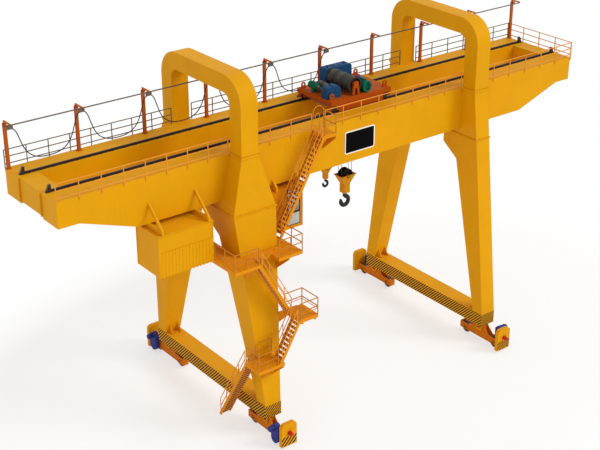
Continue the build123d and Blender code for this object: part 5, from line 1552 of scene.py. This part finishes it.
@dataclass
class Hoist:
    """The trolley's hoisting gear: drums, motors and gear cases."""

    deck: float = 18.29
    drum: Point = (1.64, 0.0, 18.90)
    drum_radius: float = 0.470
    aux: Point = (0.42, 0.0, 18.72)
    aux_radius: float = 0.200
    rope: float = 0.016
    pitch: float = 0.036
    lanes: Span = (-0.165, 0.165)
    wound: float = 0.56
    aux_wound: float = 0.40
    motor: Point = (2.53, -1.60, 18.66)
    motor_size: Span = (0.33, 0.85)
    aux_motor: Point = (-0.03, 0.82, 18.72)
    aux_motor_size: Span = (0.20, 0.71)
    motor_shares: Sequence[float] = (0.23, 0.26, 0.52, 0.84, 0.90, 0.97)
    fin_share: float = 0.60
    fin: Span = (0.007, 0.026)
    fin_gap: Span = (234.0, 306.0)
    cowl_step: float = 0.018
    case_low: Point = (1.15, 0.758, 18.29)
    case_high: Point = (3.21, 1.398, 19.40)
    split: float = 18.80
    split_half: float = 0.03
    split_out: float = 0.045
    split_row: float = 0.022
    case_bolt: float = 0.018
    shaft_caps: tuple[Span, ...] = ((1.64, 0.22), (2.53, 0.15), (2.98, 0.12))
    cap_high: float = 0.04
    cap_bolt: float = 0.014
    lug: float = 0.35
    hatch_x: Span = (1.85, 2.45)
    hatch_y: Span = (0.14, 0.50)
    hatch_rows: tuple[Point, Span] = ((1.9, 2.15, 2.4), (0.18, 0.46))
    breather: Span = (2.75, 0.30)
    aux_front: float = -1.188
    aux_rings: Span = (0.295, 0.255)
    aux_waist: Span = (0.195, 0.16)
    aux_foot: Span = (-0.36, 0.79)
    brake_y: Span = (-0.66, -0.56)
    brake_radius: float = 0.235
    brake_arm: float = 0.275
    brake_half: float = 0.29
    coupling_y: Span = (0.55, 0.73)
    aux_coupling_y: tuple[Span, Span] = ((-0.55, -0.38), (-0.06, 0.10))

    def build(self, coats: Coats) -> Pieces:
        """Add the wound rope, the motors' fins, the gear cases' work, the brake and the couplings.

        Args:
            coats: the finishes by slot.

        Returns:
            The new pieces.
        """
        main, aux, motors, cases = Work(), Work(), Work(), Work()
        for lane in self.lanes:
            main.sweep(self._helix(self.drum, self.drum_radius, lane, self.wound), self.rope, 6)
        aux.sweep(self._helix(self.aux, self.aux_radius, 0.0, self.aux_wound), self.rope, 6)
        self._motor(motors, self.motor, self.motor_size, 1, 36)
        self._motor(motors, self.aux_motor, self.aux_motor_size, -1, 24)
        self._main_case(cases)
        self._aux_case(cases)
        return [main.piece("main_drum_rope", coats, Slot.ROPE, "main_drum"),
                aux.piece("aux_drum_rope", coats, Slot.ROPE, "aux_drum"),
                motors.piece("hoist_motor_fins", coats, Slot.MOTOR, "trolley"),
                cases.piece("gear_case_work", coats, Slot.GEARBOX, "trolley"),
                self._brake().piece("hoist_brake", coats, Slot.DRIVE, "trolley"),
                self._couplings().piece("aux_couplings", coats, Slot.TRACK, "trolley")]

    def _helix(self, axle: Point, radius: float, start: float, end: float) -> list[Point]:
        """Wind a rope round a drum, from its +X side and away from where it leaves.

        Args:
            axle: the drum's middle.
            radius: the drum's radius.
            start: where the winding starts along the drum.
            end: how far from the drum's middle it ends.

        Returns:
            The middle of the rope, 28 points to a turn.
        """
        x, _, z = axle
        reach, step = radius + self.rope, math.copysign(1.0, start) * self.pitch
        count = int((end - abs(start)) / self.pitch * 28)
        angles = [2 * math.pi * place / 28 for place in range(count + 1)]
        return [(x + reach * math.cos(a), start + step * a / (2 * math.pi), z + reach * math.sin(a))
                for a in angles]

    def _motor(self, work: Work, end: Point, size: Span, way: int, count: int) -> None:
        """Add fins, a fan cowl, a flange, a terminal box and a lifting eye to a hoist motor.

        Args:
            work: the mesh that takes them.
            end: the middle of the motor's free end.
            size: its radius and length.
            way: 1 or -1, the way it runs along Y from that end.
            count: how many places for fins there are round it.
        """
        (x, y, z), (radius, length) = end, size
        cowl, fins, box, lift, flange, far = (y + way * length * share for share in self.motor_shares)
        run = way * length * self.fin_share
        work.fins(Along.Y, (x, fins, z), run, radius, count, self.fin, self.fin_gap)
        work.round((x, y + way * 0.012, z), (x, cowl, z), radius + self.cowl_step, sides=36)
        work.round((x, y, z), (x, y + way * 0.014, z), radius * 0.72, sides=30)
        work.round((x, flange, z), (x, far, z), radius + self.cowl_step, sides=36)
        half = radius * 0.35
        work.bar((x - half, box - half, z + radius - 0.02), (x + half, box + half, z + radius * 1.32), 0.012)
        eye = ring((x, lift, z + radius + 0.06), 0.04, 14, Along.Y)
        work.sweep([*eye, eye[0]], 0.011, 6)

    def _main_case(self, work: Work) -> None:
        """Add the main gear case's split flange, foot, bearing caps, lugs, hatch and breather.

        Args:
            work: the mesh that takes them.
        """
        (x0, y0, z0), (x1, y1, z1), out, row = self.case_low, self.case_high, self.split_out, self.split_row
        under, over = self.split - self.split_half, self.split + self.split_half
        work.bar((x0 - out, y0 + 0.012, under), (x1 + out, y1 + out, over), 0.008)
        places = [(x, y1 + row) for x in spread(x0 + 0.1, x1 - 0.1, 0.26)]
        places += product((x0 - row, x1 + row), spread(y0 + 0.1, y1 - 0.06, 0.22))
        for x, y in places:
            work.bolt((x, y, over), (0, 0, 1), self.case_bolt)
        work.bar((x0 - 0.05, y0 + 0.02, z0), (x1 + 0.05, y1 + 0.05, z0 + 0.05), 0.01)
        cap = y1 + self.cap_high
        for x, radius in self.shaft_caps:
            work.round((x, y1, self.split), (x, cap, self.split), radius, sides=32)
            for point in ring((x, cap, self.split), radius - 0.035, 8, Along.Y):
                work.bolt(point, (0, 1, 0), self.cap_bolt)
        for x in (x0 + self.lug, x1 - self.lug):
            work.bar((x - 0.03, y0 + 0.25, z1), (x + 0.03, y0 + 0.40, z1 + 0.10), 0.02)
        (left, right), (near, far), lid = self.hatch_x, self.hatch_y, z1 + 0.03
        work.bar((left, y0 + near, z1), (right, y0 + far, lid), 0.01)
        for x, step in product(*self.hatch_rows):
            work.bolt((x, y0 + step, lid), (0, 0, 1), 0.012)
        x, step = self.breather
        work.round((x, y0 + step, z1), (x, y0 + step, z1 + 0.12), 0.03)

    def _aux_case(self, work: Work) -> None:
        """Add bolts round the auxiliary gear case's front, a shaft cap and a foot.

        Args:
            work: the mesh that takes them.
        """
        front, z, motor = self.aux_front, self.aux[2], self.aux_motor[0]
        waist, half = self.aux_waist
        for x, radius in zip((self.aux[0], motor), self.aux_rings):
            for point in ring((x, front, z), radius, 14, Along.Y):
                if point[2] > self.deck + 0.15 and abs(point[0] - waist) >= half:
                    work.bolt(point, (0, -1, 0), self.cap_bolt)
        work.round((motor, front, z), (motor, front - 0.025, z), 0.09, sides=28)
        left, right = self.aux_foot
        work.bar((left, front + 0.1, self.deck), (right, front + 0.46, self.deck + 0.05), 0.01)

    def _brake(self) -> Work:
        """Make the brake's drum, arms and lifter behind the main motor, and the coupling on its shaft.

        Returns:
            The mesh.
        """
        work = Work()
        (x, _, z), (back, front), half = self.motor, self.brake_y, self.brake_half
        work.round((x, back, z), (x, front, z), self.brake_radius, sides=36)
        for side in SIDES:
            work.bar((x + side * self.brake_radius, back + 0.01, self.deck),
                     (x + side * self.brake_arm, front - 0.01, z + 0.26), 0.01)
        work.bar((x - half, back + 0.015, z + 0.26), (x + half, front - 0.015, z + 0.31), 0.012)
        work.bar((x - 0.12, back - 0.02, z + 0.31), (x + 0.12, front + 0.02, z + 0.46), 0.02)
        near, far = self.coupling_y
        work.round((x, near, z), (x, far, z), 0.13, sides=28)
        return work

    def _couplings(self) -> Work:
        """Make the two couplings on the auxiliary motor's shaft.

        Returns:
            The mesh.
        """
        work = Work()
        x, z = self.aux_motor[0], self.aux[2]
        for near, far in self.aux_coupling_y:
            work.round((x, near, z), (x, far, z), 0.085, sides=24)
        return work


@dataclass
class HookGear:
    """One hook with its block and its ropes."""

    name: str
    x: float
    axle: float
    radius: float
    scale: float
    lanes: Sequence[float]
    line: float
    drum: float
    deck: float = 18.02
    rope: float = 0.0157
    socket: Point = (0.045, 0.026, 0.16)
    socket_plate: Span = (0.075, 0.03)
    rim_half: Span = (0.59, 0.39)
    rim_z: Span = (0.01, 0.06)
    rim_out: float = 0.015
    rim_in: float = 0.03
    yoke: Span = (0.16, 0.235)
    yoke_rows: Point = (0.72, 0.95, 1.12)
    yoke_bolt: float = 0.026
    cap_y: Span = (0.375, 0.40)
    cap_radius: float = 0.13
    cap_ring: float = 0.102
    cap_bolt: float = 0.018
    foot: float = 1.22
    bearings: tuple[Point, Point] = ((0.019, 0.004, 0.16), (0.034, 0.021, 0.135))

    def build(self, coats: Coats) -> Pieces:
        """Reeve the ropes and add the block's rim, axle caps and bearing ring.

        Args:
            coats: the finishes by slot.

        Returns:
            The new pieces.
        """
        block, caps, bearing = Work(), Work(), Work()
        self._block(block)
        self._caps(caps)
        for low, high, radius in self.bearings:
            level = self.axle - self.foot * self.scale
            bearing.round((self.x, 0, level - low * self.scale), (self.x, 0, level - high * self.scale),
                          radius * self.scale, sides=32)
        return [*self._ropes(coats),
                block.piece(f"{self.name}_block_trim", coats, Slot.BLOCK, f"{self.name}_block"),
                caps.piece(f"{self.name}_axle_caps", coats, Slot.HOOK, f"{self.name}_block"),
                bearing.piece(f"{self.name}_hook_bearing", coats, Slot.HOOK, f"{self.name}_hook")]

    def _lead(self) -> Span:
        """Find where the rope to the drum leaves the sheave.

        Returns:
            The place along X and Z.
        """
        across, up = self.line - self.x, self.drum - self.axle
        turn = math.atan2(up, across) - math.acos(self.radius / math.hypot(across, up))
        return self.x + self.radius * math.cos(turn), self.axle + self.radius * math.sin(turn)

    def _ropes(self, coats: Coats) -> Pieces:
        """Make the straight falls and the turns round the sheaves.

        Args:
            coats: the finishes by slot.

        Returns:
            The new pieces.
        """
        lead_x, lead_z = self._lead()
        fixed_x, deck = self.x - self.radius, self.deck
        leads, fixed, bends, sockets = Work(), Work(), Work(), Work()
        wide, narrow, long = self.socket
        plate, thick = self.socket_plate
        arc = [math.pi + (math.pi + 0.06) * step / 24 for step in range(25)]
        for y in self.lanes:
            leads.sweep([(self.line, y, self.drum), (lead_x, y, lead_z)], self.rope, 10)
            fixed.sweep([(fixed_x, y, deck), (fixed_x, y, self.axle)], self.rope, 10)
            bends.sweep([(self.x + self.radius * math.cos(a), y, self.axle + self.radius * math.sin(a))
                         for a in arc], self.rope, 8)
            sockets.round((fixed_x, y, deck), (fixed_x, y, deck - long), wide, narrow)
            sockets.round((fixed_x, y, deck), (fixed_x, y, deck - thick), plate)
        body = f"{self.name}_block"
        lead = leads.piece(f"{self.name}_rope_leads", coats, Slot.ROPE, body="")
        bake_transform(lead)
        fall = fixed.piece(f"{self.name}_rope_falls", coats, Slot.ROPE, body="")
        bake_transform(fall)
        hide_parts(f"{self.name}_ropes")
        return [lead, fall, bends.piece(f"{self.name}_sheave_rope", coats, Slot.ROPE, body),
                sockets.piece(f"{self.name}_rope_sockets", coats, Slot.RAIL, "trolley")]

    def _block(self, work: Work) -> None:
        """Add a rolled rim to the block's housing and bolts to its yoke.

        Args:
            work: the mesh that takes them.
        """
        x, k = self.x, self.scale
        half_x, half_y = (half * k for half in self.rim_half)
        low, high = (self.axle + level * k for level in self.rim_z)
        inner, outer = self.rim_in * k, self.rim_out * k
        across, face = (size * k for size in self.yoke)
        for side in SIDES:
            work.bar((x - half_x - outer, side * half_y - inner, low),
                     (x + half_x + outer, side * half_y + outer, high), 0.01 * k)
            work.bar((x + side * half_x - inner, -half_y, low),
                     (x + side * half_x + outer, half_y, high), 0.01 * k)
            for way, level in product(SIDES, self.yoke_rows):
                base = (x + side * across, way * face, self.axle - level * k)
                work.bolt(base, (0, way, 0), self.yoke_bolt * k)

    def _caps(self, work: Work) -> None:
        """Add a bolted cap to each end of the sheaves' axle.

        Args:
            work: the mesh that takes them.
        """
        k = self.scale
        for way in SIDES:
            near, far = (way * face * k for face in self.cap_y)
            work.round((self.x, near, self.axle), (self.x, far, self.axle), self.cap_radius * k, sides=28)
            for point in ring((self.x, far, self.axle), self.cap_ring * k, 6, Along.Y):
                work.bolt(point, (0, way, 0), self.cap_bolt * k, washer=False)


@dataclass
class Festoon:
    """The power cable that hangs in loops from its carriers over the back girder."""

    first: float = -19.4
    pitch: float = 38.8 / 9
    posts: int = 10
    bays: int = 5
    line: float = 2.0
    peak: float = 20.02
    radius: float = 0.03
    length: float = 33.09
    loop: Sequence[Span] = (
        (0.04, 0.015), (0.085, 0.29), (0.12, 0.76), (0.16, 1.25), (0.218, 1.66), (0.312, 1.94), (0.42, 2.055),
        (0.58, 2.055), (0.688, 1.94), (0.782, 1.66), (0.84, 1.25), (0.88, 0.76), (0.915, 0.29), (0.96, 0.015),
    )
    tail: Span = (0.035, 0.015)
    post_line: float = 2.65
    post_foot: float = 17.48
    post_top: float = 20.14
    post_half: float = 0.045
    foot_half: Span = (0.15, 0.13)
    foot_bolts: Span = (0.12, 0.10)
    foot_thick: float = 0.02
    flange_half: float = 0.10
    flange_y: Span = (0.046, 0.014)
    brace: Point = (19.85, 20.15, 20.21)
    brace_reach: float = 0.35
    brace_half: float = 0.008
    roller_x: float = 0.11
    roller_z: float = 20.17
    rollers: tuple[Point, Point] = ((0.034, 0.062, 0.048), (0.06, 0.075, 0.016))
    clamp_x: float = 0.16
    clamp_half: Span = (0.02, 0.05)
    clamp_z: Span = (19.955, 20.06)

    def build(self, coats: Coats) -> Pieces:
        """Hang the cable, add rollers and clamps to its carriers, and flanges and a foot to each post.

        Args:
            coats: the finishes by slot.

        Returns:
            The new pieces.
        """
        cable = self._cable(coats)
        wheels, feet = Work(), Work()
        for index in range(self.posts):
            self._post(feet, self.first + index * self.pitch)
        for index in range(self.bays + 1):
            self._carrier(wheels, self.first + index * self.pitch)
        return [cable, wheels.piece("carrier_rollers", coats, Slot.WHEEL),
                feet.piece("festoon_post_feet", coats, Slot.POST)]

    def _route(self) -> list[Point]:
        """Lay out the cable's points from the first carrier to the last.

        Returns:
            The points in order.
        """
        reach, drop = self.tail
        points = [(self.first - reach * self.pitch, self.line, self.peak - drop)]
        for bay in range(self.bays):
            start = self.first + bay * self.pitch
            points += [(start + share * self.pitch, self.line, self.peak - low) for share, low in self.loop]
        last = self.first + self.bays * self.pitch
        return points + [(last + reach * self.pitch, self.line, self.peak - drop)]

    def _cable(self, coats: Coats) -> bpy.types.Object:
        """Hang the cable.

        Args:
            coats: the finishes by slot.

        Returns:
            The cable.
        """
        route = self._route()
        curve = bpy.data.curves.new("festoon_cable_run", "CURVE")
        curve.dimensions, curve.bevel_depth, curve.bevel_resolution = "3D", self.radius, 3
        curve.resolution_u, curve.use_fill_caps = 6, True
        spline = curve.splines.new("NURBS")
        spline.points.add(len(route) - 1)
        for point, place in zip(spline.points, route):
            point.co = (*place, 1)
        spline.order_u = 3
        spline.use_endpoint_u = True
        curve.materials.append(coats[Slot.CABLE])
        cable = bpy.data.objects.new("festoon_cable_run", curve)
        bpy.context.scene.collection.objects.link(cable)
        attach(cable, "structure")
        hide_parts("festoon_cable")
        return cable

    def _post(self, feet: Work, x: float) -> None:
        """Add a bolted foot, two flanges and a brace under the arm to one post.

        Args:
            feet: the mesh that takes them.
            x: the post's place along the girder.
        """
        y, z = self.post_line, self.post_foot
        (half_x, half_y), (bolt_x, bolt_y) = self.foot_half, self.foot_bolts
        top = z + self.foot_thick
        feet.bar((x - half_x, y - half_y, z), (x + half_x, y + half_y, top), 0.005)
        for step, row in product((-bolt_x, bolt_x), (-bolt_y, bolt_y)):
            feet.bolt((x + step, y + row, top), (0, 0, 1), 0.016)
        (start, thick), half = self.flange_y, self.flange_half
        for face in SIDES:
            near = y + face * start
            feet.bar((x - half, near, top), (x + half, near + face * thick, self.post_top), 0.003)
        (low, high, tip), back, root = self.brace, x - self.brace_half, y - self.post_half
        outline = [(back, root, high), (back, y - self.brace_reach, tip), (back, root, low)]
        feet.plate(outline, (2 * self.brace_half, 0, 0))

    def _carrier(self, wheels: Work, x: float) -> None:
        """Add four rollers and two cable clamps to one carrier.

        Args:
            wheels: the mesh that takes them.
            x: the carrier's place along the track.
        """
        y, z = self.line, self.roller_z
        for middle, side in product((x - self.roller_x, x + self.roller_x), SIDES):
            for (near, far, radius), sides in zip(self.rollers, (20, 10)):
                wheels.round((middle, y + side * near, z), (middle, y + side * far, z), radius, sides=sides)
        (half_x, half_y), (low, high) = self.clamp_half, self.clamp_z
        for middle in (x - self.clamp_x, x + self.clamp_x):
            wheels.bar((middle - half_x, y - half_y, low), (middle + half_x, y + half_y, high), 0.006)


def dress(coats: Coats) -> Pieces:
    """Give each CAD node its finish.

    Args:
        coats: the finishes by slot.

    Returns:
        The nodes.
    """
    nodes = []
    for row in frame["record"]["subparts"]:
        node, special = frame["nodes"][row["node"]], SPECIAL.get(row["node"])
        node.data.materials.clear()
        node.data.materials.append(special.build() if special else coats[Slot(row["material_slot"])])
        nodes.append(node)
    return nodes


def write_sizes() -> None:
    """Bring the view layer up to date."""
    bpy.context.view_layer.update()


def main() -> None:
    """Build the stage, the crane's finishes and its small work, and report each piece."""
    logging.basicConfig(level=logging.INFO, format="%(message)s")
    bpy.context.scene.view_settings.view_transform = "Standard"
    Eye().build()
    Lighting().build()
    coats = {slot: finish.build() for slot, finish in FINISHES.items()}
    pieces = dress(coats)
    main_hook = HookGear("main", x=2.17, axle=12.38, radius=0.43, scale=1.0, lanes=(-0.165, 0.165),
                         line=2.126, drum=18.90)
    aux_hook = HookGear("aux", x=0.565, axle=13.23, radius=0.25, scale=0.25 / 0.43, lanes=(0.0,),
                        line=0.636, drum=18.72)
    for assembly in (Festoon(), Girders(), Frames(), Bogies(), House(), Cab(), Access(), Hoist(),
                     main_hook, aux_hook):
        pieces += assembly.build(coats)
    for piece in pieces:
        LOG.info("%s in %s", piece.name, piece.data.materials[0].name)
    write_sizes()


if __name__ == "__main__":
    main()
